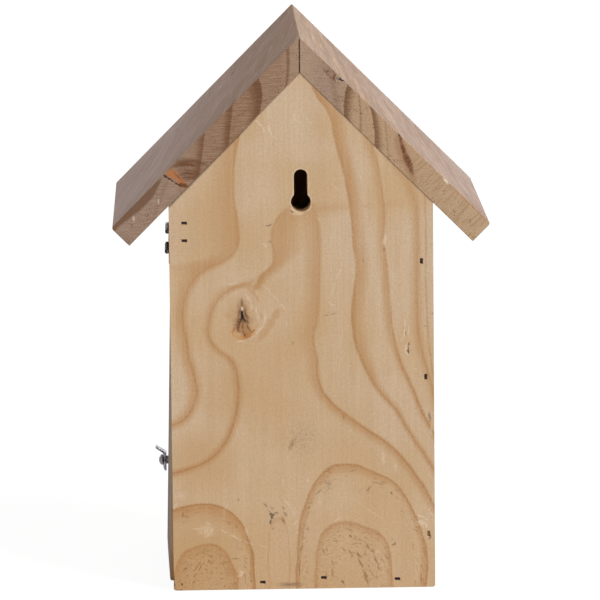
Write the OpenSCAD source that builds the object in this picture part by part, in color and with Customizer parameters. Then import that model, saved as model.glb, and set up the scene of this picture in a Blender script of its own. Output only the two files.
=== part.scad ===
// Gabled wooden nest box: nailed pine boards, a mitred pitched roof, and a cleaning door in one
// side that swings up on two small hinges and is held shut by a turn catch.
// Millimetres. Z is up, the entrance faces -Y, the wall side is +Y, and the door is at +X.
// The origin is under the middle of the box, on the surface that it stands on.

/* [Body] */
// Width of the front and back panels
body_w = 124; // [110:1:160]
// Depth from the front panel's face to the back panel's face
body_d = 124; // [110:1:160]
// Height of the side edges, up to the underside of the roof
wall_h = 184; // [160:1:240]
// Thickness of the front and back panels
panel_t = 12; // [10:0.5:18]
// Thickness of the fixed side, the top rail and the door
side_t = 12; // [10:0.5:18]
// Thickness of the floor
floor_t = 12; // [10:0.5:18]
// Radius of the eased lower corners of the boards
corner_r = 1.2; // [0.5:0.1:2]

/* [Roof] */
// Slope of each roof board, in degrees
roof_pitch = 45; // [40:1:50]
// Thickness of the roof boards
roof_t = 12; // [10:0.5:18]
// How far a roof board runs on down the slope past the edge of the panels
eave_reach = 26.3; // [20:0.1:40]
// How far the roof stands out in front of the front panel
roof_overhang = 30; // [15:1:45]
// Radius of the rounded upper edge at the eave
eave_r = 1.5; // [0.5:0.1:3]

/* [Entrance] */
// Diameter of the entrance hole
entrance_d = 32; // [25:1:34]
// Distance from the top of the panels' side edges down to the entrance hole's centre
entrance_drop = 38; // [30:1:60]
// Width of the eased edge round the mouth of the entrance
entrance_ease = 0.6; // [0.3:0.1:1.5]

/* [Hanging keyhole] */
// Diameter of the round hole that a hanging screw's head goes through
keyhole_head_d = 9.4; // [8.6:0.1:11]
// Width of the slot that the hanging screw's shank sits in
keyhole_slot_w = 6.4; // [5:0.1:6.4]
// Height of the centre of the round hole above the top of the panels' side edges
keyhole_lift = 1; // [-10:1:8]
// Distance from the centre of the round hole up to the centre of the slot's end
keyhole_rise = 12.4; // [10:0.1:14]

/* [Door] */
// How far the door and the top rail stand out past the panels' edges, or below 0 how far in they are
door_proud = -0.2; // [-0.5:0.05:1]
// Distance from the top of the panels' side edges down to the hinge pins, above the door
rail_drop = 24; // [20:1:40]
// Height of the door's lower edge above the bottom of the box
door_lift = 2; // [1.5:0.5:6]
// Gap between the door's upright edges and the panels
door_side_gap = 0.75; // [0.5:0.05:1.2]
// Gap between the top rail and the door
door_seam = 1; // [0.8:0.1:1.6]
// Gap between the shut door and the edge of the floor that stops it
stop_gap = 0.3; // [0.2:0.05:0.5]

/* [Hinges] */
// Length of a hinge along its pin
hinge_len = 25; // [20:1:30]
// Distance from the inner face of a panel to the nearer hinge
hinge_inset = 5; // [3:0.5:10]
// Height of a hinge leaf from the pin's axis to its free edge
leaf_h = 6; // [5.5:0.5:8]
// Thickness of a hinge leaf
leaf_t = 0.5; // [0.4:0.05:0.7]
// Outside diameter of the rolled knuckles
knuckle_d = 2.2; // [2:0.1:2.8]
// Diameter of the hinge pins
pin_d = 1.1; // [0.9:0.05:1.2]
// Gap between neighbouring knuckles
knuckle_gap = 0.2; // [0.15:0.05:0.4]
// Thickness of the rounded heads at the ends of a pin
pin_head_t = 0.4; // [0.3:0.1:0.8]
// Diameter of the hinge screws' countersunk heads
screw_head_d = 3.2; // [2.8:0.1:3.6]
// Diameter of the hinge screws' shanks
screw_d = 1.6; // [1.4:0.1:2]
// Length of the hinge screws
screw_len = 7; // [6:0.5:9]
// Distance from a leaf's end to the centre of its nearer screw
screw_inset = 4.2; // [3:0.1:6]

/* [Turn catch] */
// Height of the catch screw
catch_z = 41; // [30:1:60]
// Distance of the catch screw from the front panel's inner face
catch_inset = 3.8; // [3.7:0.1:4.4]
// Width of the catch plate
catch_w = 7; // [6:0.1:7.2]
// Thickness of the catch plate
catch_t = 0.8; // [0.6:0.1:1.2]
// Distance from the panel's edge to the inner face of the plate, at the screw
catch_stand = 4.2; // [3.6:0.1:5]
// Inner radius of the trough that the plate is pressed into
catch_dish_r = 6.6; // [6:0.1:12]
// Length from the screw to the tip of the rounded tail that holds the door
catch_tail = 5.6; // [5:0.1:8]
// Length from the screw up to where the finger tab leaves the plate
catch_neck = 3.8; // [3:0.1:5]
// Length of the finger tab
catch_tab = 6; // [4:0.1:8]
// Angle of the finger tab above the horizontal
catch_tab_angle = 33; // [15:1:45]
// Radius of the finger tab's corners
catch_tab_r = 1.2; // [0.5:0.1:2]
// Outside diameter of the spacer that carries the plate
catch_spacer_d = 4.2; // [3.8:0.1:5]
// Diameter of the catch screw's domed head
catch_head_d = 5.2; // [4.8:0.1:6]
// Height of the catch screw's domed head
catch_head_h = 1.9; // [1.7:0.1:2.6]
// Height of the straight rim under the dome of the head
catch_head_rim = 0.7; // [0.4:0.1:1.1]
// Diameter of the catch screw's shank
catch_screw_d = 2.4; // [2:0.1:2.8]
// Length of the catch screw in the wood
catch_grip = 14; // [10:1:18]

/* [Brads] */
// Length of a brad
brad_len = 30; // [26:1:34]
// Width of a brad's shank
brad_w = 1.4; // [1:0.1:1.6]
// Thickness of a brad's shank
brad_t = 1.3; // [0.9:0.1:1.4]
// Length of a brad's T head
brad_head_w = 2.5; // [2:0.1:3]
// Thickness of a brad's T head along the shank
brad_head_t = 0.8; // [0.6:0.1:1.2]
// Depth that a brad's head is sunk below the face
brad_sink = 1; // [0.5:0.1:1.5]

/* [Hidden] */
$fn = 48;

// Clearances
bore_fit = 0.05; // between a hinge pin and the knuckles' bores, on the radius
wood_fit = 0.03; // between a fastener and the hole that it was driven into, on each side
pit_fit = 0.1; // between a brad's head and the pit above it, on each side
plate_fit = 0.08; // between the catch plate's hole and the screw through it, on the radius
seat_fit = 0.05; // between the turning catch plate and what it turns against
roll_fit = 0.15; // between the knuckles and the faces of the boards behind them
leaf_clear = 0.25; // between a leaf's edge and the other leaf's knuckle
through = 1; // what a cutter runs past the face that it cuts
round_fn = 96; // facets of the larger round forms
small_fn = 32; // facets of the small screws and knuckles

// Depth positions
back_y = (body_d + roof_overhang) / 2;
front_y = back_y - body_d;
back_in_y = back_y - panel_t;
front_in_y = front_y + panel_t;
inner_d = body_d - 2 * panel_t;

// Widths and the gable
half_w = body_w / 2;
fixed_in_x = -half_w + side_t;
door_out_x = half_w + door_proud;
door_in_x = door_out_x - side_t;
gable_run = half_w / cos(roof_pitch);
peak_z = wall_h + half_w * tan(roof_pitch);
ridge_z = peak_z + roof_t / cos(roof_pitch);
mitre_run = roof_t * tan(roof_pitch);
roof_run = mitre_run + gable_run + eave_reach;
door_top = wall_h - rail_drop;
entrance_z = wall_h - entrance_drop;
keyhole_z = wall_h + keyhole_lift;
function under_roof(x) = peak_z - abs(x) * tan(roof_pitch);

// Hinges
knuckles = 3;
knuckle_r = knuckle_d / 2;
pin_x = door_out_x + knuckle_r + roll_fit;
pin_head_d = knuckle_d - 0.6;
front_hinge_y = front_in_y + hinge_inset;
rear_hinge_y = back_in_y - hinge_inset - hinge_len;
leaf_screw_rise = (knuckle_r + leaf_clear + leaf_h) / 2;
leaf_screws_y = [screw_inset, hinge_len - screw_inset];
leaf_corner_r = 0.8;
recess_w = 0.5;
recess_depth = 0.5;

// Turn catch
catch_y = front_in_y - catch_inset;
catch_in_x = half_w + catch_stand;
catch_axis_x = catch_in_x - catch_dish_r;
catch_rim_x = catch_axis_x + sqrt(pow(catch_dish_r, 2) - pow(catch_w / 2, 2));
catch_seat_x = catch_axis_x + sqrt(pow(catch_dish_r, 2) - pow(catch_spacer_d / 2, 2)) - seat_fit;
catch_head_x = catch_in_x + catch_t + seat_fit;
catch_straight = catch_tail - catch_w / 2;

// Brads: a row's places as shares of the board that it runs along, from the lower or -X end,
// and for the side and the floor also how deep each sits in the board's thickness, as a share
side_brad_spots = [[0.14, 0.25], [0.55, 0.33], [0.85, 0.47]];
floor_brad_spots = [[0.06, 0.34], [0.41, 0.43], [0.7, 0.28]];
roof_brad_shares = [0.36, 0.8];
rail_brad_edge = side_t * 0.58;
rail_brad_low = door_top + leaf_screw_rise + screw_d / 2 + 3;
rail_brads_z = [rail_brad_low, rail_brad_low + 0.55 * (wall_h - rail_brad_low - brad_t)];
function share_between(low, high, share) = low + share * (high - low);

// Rounds the corner of an outline: removes what lies outside a circle of the corner's radius
module corner_cut(x, y, side_x, side_y, r) {
    translate([x - side_x * r, y - side_y * r])
        difference() {
            translate([side_x > 0 ? 0 : -2 * r, side_y > 0 ? 0 : -2 * r])
                square(2 * r);
            circle(r);
        }
}

// Draws an outline in X and Z as a piece between two depths
module upright(low_y, high_y) {
    translate([0, high_y, 0])
        rotate([90, 0, 0])
            linear_extrude(high_y - low_y)
                children();
}

// Outline of the front and back panels, in X and Z
module gable_outline() {
    difference() {
        polygon([
            [-half_w, 0], [half_w, 0], [half_w, wall_h], [0, peak_z], [-half_w, wall_h]
        ]);
        corner_cut(half_w, 0, 1, -1, corner_r);
        corner_cut(-half_w, 0, -1, -1, corner_r);
    }
}

// One brad along -Z with its T head at the top; grow > 0 makes the hole that it sits in
module brad(grow = 0) {
    shank_w = brad_w + 2 * grow;
    shank_t = brad_t + 2 * grow;
    head_w = brad_head_w + 2 * grow;
    translate([-shank_w / 2, -shank_t / 2, -brad_sink - brad_len - grow])
        cube([shank_w, shank_t, brad_len]);
    translate([-head_w / 2, -shank_t / 2, -brad_sink - brad_head_t - grow])
        cube([head_w, shank_t, brad_head_t + 2 * grow]);
}

// The hole for one brad, with the open pit above its head
module brad_hole() {
    pit_w = brad_head_w + 2 * pit_fit;
    pit_t = brad_t + 2 * pit_fit;
    brad(wood_fit);
    translate([-pit_w / 2, -pit_t / 2, -brad_sink])
        cube([pit_w, pit_t, brad_sink + through]);
}

// Puts what is drawn along -Z at a point of the back face, driven forward
module at_back(x, z, turn = 0) {
    translate([x, back_y, z])
        rotate([-90, 0, 0])
            rotate([0, 0, turn])
                children();
}

// Puts what is drawn along -Z at a point of the front face, driven backward
module at_front(x, z, turn = 0) {
    translate([x, front_y, z])
        rotate([90, 0, 0])
            rotate([0, 0, turn])
                children();
}

module side_brads_at_back() {
    for (spot = side_brad_spots)
        at_back(-half_w + spot[1] * side_t, spot[0] * wall_h, 90)
            children();
}

module side_brads_at_front() {
    for (spot = side_brad_spots)
        at_front(-half_w + spot[1] * side_t, spot[0] * wall_h, 90)
            children();
}

module rail_brads_at_back() {
    for (z = rail_brads_z)
        at_back(door_out_x - rail_brad_edge, z)
            children();
}

module rail_brads_at_front() {
    for (z = rail_brads_z)
        at_front(door_out_x - rail_brad_edge, z)
            children();
}

module floor_brads_at_back() {
    for (spot = floor_brad_spots)
        at_back(share_between(fixed_in_x, door_in_x, spot[0]), spot[1] * floor_t)
            children();
}

module floor_brads_at_front() {
    for (spot = floor_brad_spots)
        at_front(share_between(fixed_in_x, door_in_x, spot[0]), spot[1] * floor_t)
            children();
}

// Puts what is drawn along -Z on a roof board's upper face, square to the slope
module roof_brads_on(side) {
    for (y = [front_y + panel_t / 2, back_y - panel_t / 2], share = roof_brad_shares) {
        run = mitre_run + share * gable_run;
        translate([side * run * cos(roof_pitch), y, ridge_z - run * sin(roof_pitch)])
            rotate([0, side * roof_pitch, 0])
                children();
    }
}

module keyhole_cut() {
    upright(back_in_y - through, back_y + through) {
        translate([0, keyhole_z])
            circle(d = keyhole_head_d);
        translate([-keyhole_slot_w / 2, keyhole_z])
            square([keyhole_slot_w, keyhole_rise]);
        translate([0, keyhole_z + keyhole_rise])
            circle(d = keyhole_slot_w);
    }
}

module back_panel() {
    color("burlywood")
        difference() {
            upright(back_in_y, back_y)
                gable_outline();
            keyhole_cut();
            side_brads_at_back() brad_hole();
            rail_brads_at_back() brad_hole();
            floor_brads_at_back() brad_hole();
            roof_brads_on(1) brad(wood_fit);
            roof_brads_on(-1) brad(wood_fit);
        }
}

// The entrance hole with its eased mouth, along +Y from the front face
module entrance_cut() {
    mouth_d = entrance_d + 4 * entrance_ease;
    translate([0, front_y, entrance_z])
        rotate([-90, 0, 0]) {
            translate([0, 0, -through])
                cylinder(h = panel_t + 2 * through, d = entrance_d, $fn = round_fn);
            translate([0, 0, -entrance_ease])
                cylinder(h = 2 * entrance_ease, d1 = mouth_d, d2 = entrance_d, $fn = round_fn);
        }
}

module catch_screw_hole() {
    translate([half_w - catch_grip - wood_fit, catch_y, catch_z])
        rotate([0, 90, 0])
            cylinder(h = catch_grip + through, d = catch_screw_d + 2 * wood_fit);
}

module front_panel() {
    color("burlywood")
        difference() {
            upright(front_y, front_in_y)
                gable_outline();
            entrance_cut();
            catch_screw_hole();
            side_brads_at_front() brad_hole();
            rail_brads_at_front() brad_hole();
            floor_brads_at_front() brad_hole();
            roof_brads_on(1) brad(wood_fit);
            roof_brads_on(-1) brad(wood_fit);
        }
}

module fixed_side() {
    color("rosybrown")
        difference() {
            upright(front_in_y, back_in_y)
                polygon([
                    [-half_w, 0], [fixed_in_x, 0],
                    [fixed_in_x, under_roof(fixed_in_x)], [-half_w, wall_h]
                ]);
            side_brads_at_back() brad(wood_fit);
            side_brads_at_front() brad(wood_fit);
        }
}

module top_rail() {
    low_z = door_top + door_seam / 2;
    color("rosybrown")
        difference() {
            upright(front_in_y, back_in_y)
                polygon([
                    [door_in_x, low_z], [door_out_x, low_z],
                    [door_out_x, under_roof(door_out_x)], [door_in_x, under_roof(door_in_x)]
                ]);
            rail_brads_at_back() brad(wood_fit);
            rail_brads_at_front() brad(wood_fit);
            at_leaf_screws(1) hinge_screw_hole();
        }
}

module door() {
    high_z = door_top - door_seam / 2;
    color("rosybrown")
        difference() {
            upright(front_in_y + door_side_gap, back_in_y - door_side_gap)
                difference() {
                    translate([door_in_x, door_lift])
                        square([side_t, high_z - door_lift]);
                    corner_cut(door_out_x, door_lift, 1, -1, corner_r);
                }
            at_leaf_screws(-1) hinge_screw_hole();
        }
}

module floor_board() {
    floor_end_x = door_in_x - stop_gap;
    color("burlywood")
        difference() {
            translate([fixed_in_x, front_in_y, 0])
                cube([floor_end_x - fixed_in_x, inner_d, floor_t]);
            floor_brads_at_back() brad(wood_fit);
            floor_brads_at_front() brad(wood_fit);
        }
}

// One roof board, mitred at the ridge and rounded at the upper edge of its eave
module roof_board(side) {
    color("gray")
        difference() {
            upright(front_y - roof_overhang, back_y)
                mirror([side < 0 ? 1 : 0, 0])
                    difference() {
                        translate([0, ridge_z])
                            rotate(-roof_pitch)
                                difference() {
                                    translate([0, -roof_t])
                                        square([roof_run, roof_t]);
                                    corner_cut(roof_run, 0, 1, 1, eave_r);
                                }
                        translate([-roof_run, 0])
                            square([roof_run, ridge_z + through]);
                    }
            roof_brads_on(side) brad_hole();
        }
}

// Hinge screw along -X with its head flush with x = 0, countersunk through the leaf's thickness
module hinge_screw_form(grow = 0) {
    head_r = screw_head_d / 2;
    shank_r = screw_d / 2;
    rotate([0, -90, 0]) {
        cylinder(h = leaf_t, r1 = head_r + grow, r2 = shank_r + grow, $fn = small_fn);
        cylinder(h = screw_len + grow, r = shank_r + grow, $fn = small_fn);
    }
}

// The hole that a hinge screw is driven into
module hinge_screw_hole() {
    rotate([0, -90, 0])
        cylinder(h = screw_len + wood_fit, r = screw_d / 2 + wood_fit, $fn = small_fn);
}

module hinge_screw() {
    difference() {
        hinge_screw_form();
        for (turn = [45, 135])
            rotate([turn, 0, 0])
                translate([-recess_depth, -screw_d / 2, -recess_w / 2])
                    cube([recess_depth + through, screw_d, recess_w]);
    }
}

// Puts what is drawn along -X at the screws of both leaves on one board; side is 1 on the rail
module at_leaf_screws(side) {
    for (y0 = [front_hinge_y, rear_hinge_y], y = leaf_screws_y)
        translate([door_out_x + leaf_t, y0 + y, door_top + side * leaf_screw_rise])
            children();
}

// Outline of a leaf's plate in Y and Z, from the pin's axis to its free edge
module leaf_outline(side) {
    difference() {
        translate([0, side > 0 ? 0 : -leaf_h])
            square([hinge_len, leaf_h]);
        corner_cut(0, side * leaf_h, -1, side, leaf_corner_r);
        corner_cut(hinge_len, side * leaf_h, 1, side, leaf_corner_r);
    }
}

// One hinge leaf with its knuckles: the rail's leaf has the outer two, the door's the middle one
module hinge_leaf(side, y0) {
    step = hinge_len / knuckles;
    clear_r = knuckle_r + leaf_clear;
    own = side > 0 ? [0, 2] : [1];
    other = side > 0 ? [1] : [0, 2];
    difference() {
        union() {
            difference() {
                translate([door_out_x, y0, door_top])
                    rotate([90, 0, 90])
                        linear_extrude(leaf_t)
                            leaf_outline(side);
                for (i = other)
                    translate([door_out_x - through, y0 + i * step - knuckle_gap / 2, door_top - clear_r])
                        cube([leaf_t + 2 * through, step + knuckle_gap, 2 * clear_r]);
            }
            for (i = own)
                translate([pin_x, y0 + i * step + knuckle_gap / 2, door_top])
                    rotate([-90, 0, 0])
                        cylinder(h = step - knuckle_gap, d = knuckle_d, $fn = small_fn);
        }
        translate([pin_x, y0 - through, door_top])
            rotate([-90, 0, 0])
                cylinder(h = hinge_len + 2 * through, d = pin_d + 2 * bore_fit, $fn = small_fn);
        for (y = leaf_screws_y)
            translate([door_out_x + leaf_t, y0 + y, door_top + side * leaf_screw_rise])
                hinge_screw_form(bore_fit);
    }
}

// Hinge pin along Y, with a flat round head just past each end of the barrel
module hinge_pin(y0) {
    translate([pin_x, y0, door_top])
        rotate([-90, 0, 0]) {
            translate([0, 0, -pin_head_t])
                cylinder(h = hinge_len + 2 * pin_head_t, d = pin_d, $fn = small_fn);
            translate([0, 0, -pin_head_t])
                cylinder(h = pin_head_t, d = pin_head_d, $fn = small_fn);
            translate([0, 0, hinge_len])
                cylinder(h = pin_head_t, d = pin_head_d, $fn = small_fn);
        }
}

// Cross section of the pressed catch plate: x is across the plate, y is out from the box
module trough_outline() {
    translate([0, -catch_dish_r])
        intersection() {
            difference() {
                circle(catch_dish_r + catch_t, $fn = round_fn);
                circle(catch_dish_r, $fn = round_fn);
            }
            translate([-catch_w / 2, 0])
                square([catch_w, catch_dish_r + catch_t]);
        }
}

// The straight part of the plate, cut off along the upper face of the tab
module catch_trough() {
    reach = catch_neck + catch_w;
    difference() {
        translate([catch_in_x, catch_y, catch_z - catch_straight])
            rotate([0, 0, -90])
                linear_extrude(catch_straight + reach)
                    trough_outline();
        at_tab()
            translate([-reach, -reach, 0])
                cube([2 * reach, 2 * reach, 2 * reach]);
    }
}

// The rounded lower end of the tail
module catch_tail_end() {
    translate([catch_in_x, catch_y, catch_z - catch_straight])
        rotate([0, 90, 0])
            rotate(-90)
                rotate_extrude(angle = 180)
                    intersection() {
                        trough_outline();
                        translate([0, -catch_dish_r])
                            square([catch_w / 2, catch_dish_r + catch_t]);
                    }
}

// Puts what is drawn along +X from the rim of the plate on the upper face of the tab
module at_tab() {
    translate([catch_rim_x, catch_y, catch_z + catch_neck])
        rotate([0, -catch_tab_angle, 0])
            children();
}

module catch_tab() {
    at_tab()
        translate([0, 0, -catch_t])
            linear_extrude(catch_t)
                difference() {
                    translate([0, -catch_w / 2])
                        square([catch_tab, catch_w]);
                    corner_cut(catch_tab, catch_w / 2, 1, 1, catch_tab_r);
                    corner_cut(catch_tab, -catch_w / 2, 1, -1, catch_tab_r);
                }
}

module catch_plate() {
    color("lightslategray")
        difference() {
            union() {
                catch_trough();
                catch_tail_end();
                catch_tab();
            }
            translate([catch_axis_x, catch_y, catch_z])
                rotate([0, 90, 0])
                    cylinder(h = catch_dish_r + catch_t + through, d = catch_screw_d + 2 * plate_fit);
        }
}

module catch_spacer() {
    color("silver")
        translate([half_w, catch_y, catch_z])
            rotate([0, 90, 0])
                difference() {
                    cylinder(h = catch_seat_x - half_w, d = catch_spacer_d);
                    translate([0, 0, -through])
                        cylinder(h = catch_stand + through, d = catch_screw_d + 2 * plate_fit);
                }
}

module catch_screw() {
    head_r = catch_head_d / 2;
    dome_h = catch_head_h - catch_head_rim;
    dome_r = (pow(head_r, 2) + pow(dome_h, 2)) / (2 * dome_h);
    shank_len = catch_grip + catch_head_x - half_w;
    color("silver")
        translate([catch_head_x, catch_y, catch_z])
            rotate([0, 90, 0])
                difference() {
                    union() {
                        intersection() {
                            translate([0, 0, catch_head_h - dome_r])
                                sphere(dome_r, $fn = round_fn);
                            cylinder(h = catch_head_h, d = catch_head_d);
                        }
                        translate([0, 0, -shank_len])
                            cylinder(h = shank_len + catch_head_rim, d = catch_screw_d);
                    }
                    for (turn = [45, 135])
                        rotate(turn)
                            translate([-catch_screw_d / 2, -recess_w / 2, catch_head_h - 2 * recess_depth])
                                cube([catch_screw_d, recess_w, 2 * recess_depth + through]);
                }
}

module rail_leaf(y0) {
    color("silver")
        hinge_leaf(1, y0);
}

module door_leaf(y0) {
    color("silver")
        hinge_leaf(-1, y0);
}

module pin(y0) {
    color("gray")
        hinge_pin(y0);
}

module hinge_screws(side) {
    color("silver")
        at_leaf_screws(side) hinge_screw();
}

module brads() {
    color("dimgray")
        children();
}

back_panel();
front_panel();
fixed_side();
top_rail();
floor_board();  // floor
roof_board(-1);  // roof_board_left
roof_board(1);  // roof_board_right
door();
rail_leaf(rear_hinge_y);  // rear_hinge_rail_leaf
door_leaf(rear_hinge_y);  // rear_hinge_door_leaf
pin(rear_hinge_y);  // rear_hinge_pin
rail_leaf(front_hinge_y);  // front_hinge_rail_leaf
door_leaf(front_hinge_y);  // front_hinge_door_leaf
pin(front_hinge_y);  // front_hinge_pin
hinge_screws(1);  // rail_hinge_screws
hinge_screws(-1);  // door_hinge_screws
catch_plate();
catch_spacer();
catch_screw();
brads() side_brads_at_back() brad();  // back_side_brads
brads() rail_brads_at_back() brad();  // back_rail_brads
brads() floor_brads_at_back() brad();  // back_floor_brads
brads() side_brads_at_front() brad();  // front_side_brads
brads() rail_brads_at_front() brad();  // front_rail_brads
brads() floor_brads_at_front() brad();  // front_floor_brads
brads() roof_brads_on(-1) brad();  // roof_left_brads
brads() roof_brads_on(1) brad();  // roof_right_brads
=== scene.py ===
import math

import bmesh
import bpy
from mathutils import Matrix, Vector


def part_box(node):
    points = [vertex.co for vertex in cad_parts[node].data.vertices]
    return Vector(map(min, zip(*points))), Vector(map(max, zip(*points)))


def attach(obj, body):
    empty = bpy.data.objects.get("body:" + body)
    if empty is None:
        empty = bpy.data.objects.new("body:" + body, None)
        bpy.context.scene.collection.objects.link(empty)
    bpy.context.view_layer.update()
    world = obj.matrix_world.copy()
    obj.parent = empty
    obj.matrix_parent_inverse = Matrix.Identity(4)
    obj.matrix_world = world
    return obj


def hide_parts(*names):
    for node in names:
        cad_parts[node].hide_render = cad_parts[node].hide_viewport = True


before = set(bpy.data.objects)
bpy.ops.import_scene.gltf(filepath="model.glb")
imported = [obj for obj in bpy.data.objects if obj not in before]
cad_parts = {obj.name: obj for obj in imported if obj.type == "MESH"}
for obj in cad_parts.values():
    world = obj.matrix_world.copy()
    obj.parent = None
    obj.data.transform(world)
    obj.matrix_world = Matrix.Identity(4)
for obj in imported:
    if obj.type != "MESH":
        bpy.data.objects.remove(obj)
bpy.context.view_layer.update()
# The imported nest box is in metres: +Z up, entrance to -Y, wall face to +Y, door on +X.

MM = 0.001

# ---------------------------------------------------------------- camera, light and floor

CAMERA_PLACE = (0.053, 2.393, 0.511)
CAMERA_LENS = 299.64  # mm
CAMERA_SENSOR = 36.0  # mm across
CAMERA_NEAR = 0.1  # metres, what the camera sees from and to
CAMERA_FAR = 50.0
CAMERA_HEADING = 180 - 1.29  # degrees; 180 looks straight at the wall face
CAMERA_TILT = 90 - 9.13  # 90 looks level
CAMERA_ROLL = -0.58

SKY_LIGHT = 0.38  # the even light from all round, where 1 shows a colour as it is written
KEY_LIGHT = 0.86  # the same scale, for a surface square to the lamp
KEY_FROM = (-0.62, 0.46, 0.64)
KEY_SOFTNESS = 28.0  # degrees across
FILL_LIGHT = 0.30
FILL_FROM = (0.15, -0.96, 0.24)
FILL_SOFTNESS = 50.0

FLOOR_REACH = 6.0  # metres from the middle to each side
FLOOR_DROP = 0.0002  # metres below the box's foot
FLOOR_GLOW = 0.92  # seen by the camera only, so that the lit floor shows white
FLOOR_SEEN = 0.15  # how bright the floor's own colour is to the camera
FLOOR_COLOUR = 0.80

# ---------------------------------------------------------------- sizes shared by boards, mm

RIDGE_HEIGHT = 262.97
GABLE_PEAK = 246.0
BOARD_THICKNESS = 12.0
KEYHOLE_HEIGHT = 185.0
KEYHOLE_RADIUS = 4.7
KEYHOLE_SLOT_TOP = 197.4
KEYHOLE_SLOT_HALF = 3.2
HALF_TURN = math.sqrt(0.5)  # the sine of the roof's 45 degrees

# ---------------------------------------------------------------- shared colours and shares

WHITE = (1.0, 1.0, 1.0, 1.0)
BLACK = (0.0, 0.0, 0.0, 1.0)
NOISE_MIDDLE = (0.35, 0.65)  # where most of a noise's values lie
TURNED = (0.5, 0.8)  # how far a face looks along an axis before it counts as an end


def grey(level):
    return (level, level, level, 1.0)


def srgb(red, green, blue):
    """The linear colour that shows as these 0-255 values."""
    def linear(value):
        share = value / 255
        return share / 12.92 if share <= 0.04045 else ((share + 0.055) / 1.055) ** 2.4
    return (linear(red), linear(green), linear(blue), 1.0)


def tones(*stops):
    """A ramp of colours: (place, red, green, blue) for each stop."""
    return tuple((place, srgb(*colour)) for place, *colour in stops)


# ---------------------------------------------------------------- node tools

class Net:
    """Adds nodes to one node tree. An input is a socket, which gets linked, or a plain value."""

    ROWS = 8

    def __init__(self, tree):
        self.tree = tree

    def node(self, kind, inputs=None, **settings):
        made = self.tree.nodes.new("ShaderNode" + kind)
        place = len(self.tree.nodes)
        made.location = (220 * (place // self.ROWS), -190 * (place % self.ROWS))
        for name, value in settings.items():
            setattr(made, name, value)
        for name, value in (inputs or {}).items():
            self.feed(made.inputs[name], value)
        return made

    def feed(self, socket, value):
        if isinstance(value, bpy.types.NodeSocket):
            self.tree.links.new(value, socket)
        else:
            socket.default_value = value

    def math(self, operation, *values):
        made = self.node("Math", operation=operation)
        for socket, value in zip(made.inputs, values):
            self.feed(socket, value)
        return made.outputs[0]

    def times(self, one, other):
        return self.math("MULTIPLY", one, other)

    def plus(self, one, other):
        return self.math("ADD", one, other)

    def minus(self, one, other):
        return self.math("SUBTRACT", one, other)

    def larger(self, one, other):
        return self.math("MAXIMUM", one, other)

    def vector(self, operation, *values):
        made = self.node("VectorMath", operation=operation)
        for socket, value in zip(made.inputs, values):
            self.feed(socket, value)
        return made.outputs["Value" if operation in ("LENGTH", "DOT_PRODUCT") else "Vector"]

    def ease(self, value, start, end, low=0.0, high=1.0):
        """Goes smoothly from low to high as value goes from start to end."""
        # A smooth step keeps within its ends without a clamp. With clamps, the largest materials
        # grew past what the renderer holds and showed black.
        given = {"Value": value, "From Min": start, "From Max": end, "To Min": low, "To Max": high}
        made = self.node("MapRange", given, interpolation_type="SMOOTHSTEP", clamp=False)
        return made.outputs["Result"]

    def noise(self, vector, scale=1.0, detail=2.0, roughness=0.5, part="Fac"):
        given = {"Vector": vector, "Scale": scale, "Detail": detail, "Roughness": roughness}
        return self.node("TexNoise", given).outputs[part]

    def scaled(self, vector, x, y, z):
        return self.vector("MULTIPLY", vector, (x, y, z))

    def joined(self, x, y, z):
        return self.node("CombineXYZ", {"X": x, "Y": y, "Z": z}).outputs["Vector"]

    def parts(self, vector):
        return self.node("SeparateXYZ", {"Vector": vector}).outputs

    def most(self, values):
        """The highest of several values."""
        highest = values[0]
        for value in values[1:]:
            highest = self.larger(highest, value)
        return highest

    def mix(self, share, under, over, way="MIX"):
        """Colour under, going to colour over as share goes to 1."""
        made = self.node("Mix", data_type="RGBA", blend_type=way)
        for index, value in ((0, share), (6, under), (7, over)):
            self.feed(made.inputs[index], value)
        return made.outputs[2]

    def ramp(self, value, stops):
        """A colour that changes with value, through (place, colour) stops."""
        made = self.node("ValToRGB", {"Fac": value})
        bar = made.color_ramp
        for index, (place, colour) in enumerate(stops):
            stop = bar.elements[index] if index < 2 else bar.elements.new(place)
            stop.position = place
            stop.color = colour
        return made.outputs["Color"]

    def use(self, group, **inputs):
        """Places a node group; its inputs are named with _ for each space."""
        made = self.node("Group", node_tree=group)
        for name, value in inputs.items():
            self.feed(made.inputs[name.replace("_", " ")], value)
        return made.outputs


def new_group(name, inputs, outputs):
    """A node group: inputs with their values, three numbers for a place, and number outputs."""
    tree = bpy.data.node_groups.new(name, "ShaderNodeTree")
    for title, value in inputs.items():
        kind = "NodeSocketVector" if isinstance(value, tuple) else "NodeSocketFloat"
        tree.interface.new_socket(title, in_out="INPUT", socket_type=kind).default_value = value
    for title in outputs:
        tree.interface.new_socket(title, in_out="OUTPUT", socket_type="NodeSocketFloat")
    entry = tree.nodes.new("NodeGroupInput")
    result = tree.nodes.new("NodeGroupOutput")
    return tree, Net(tree), entry.outputs, result.inputs


# ---------------------------------------------------------------- shared effects

def make_growth_line():
    """The late wood beside one growth line, fading over a width on each side of a thin core."""
    tree, net, given, result = new_group(
        "growth_line", {"Distance": 0.0, "Left Width": 3.0, "Right Width": 1.5}, ("Mask", "Core")
    )
    left_start = net.times(given["Left Width"], -1.0)
    left_full = net.times(given["Left Width"], -0.08)
    from_left = net.ease(given["Distance"], left_start, left_full)
    right_full = net.times(given["Right Width"], 0.08)
    to_right = net.ease(given["Distance"], right_full, given["Right Width"], 1.0, 0.0)
    net.feed(result["Mask"], net.times(from_left, to_right))
    net.feed(result["Core"], net.ease(net.math("ABSOLUTE", given["Distance"]), 0.1, 0.9, 1.0, 0.0))
    return tree


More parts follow.
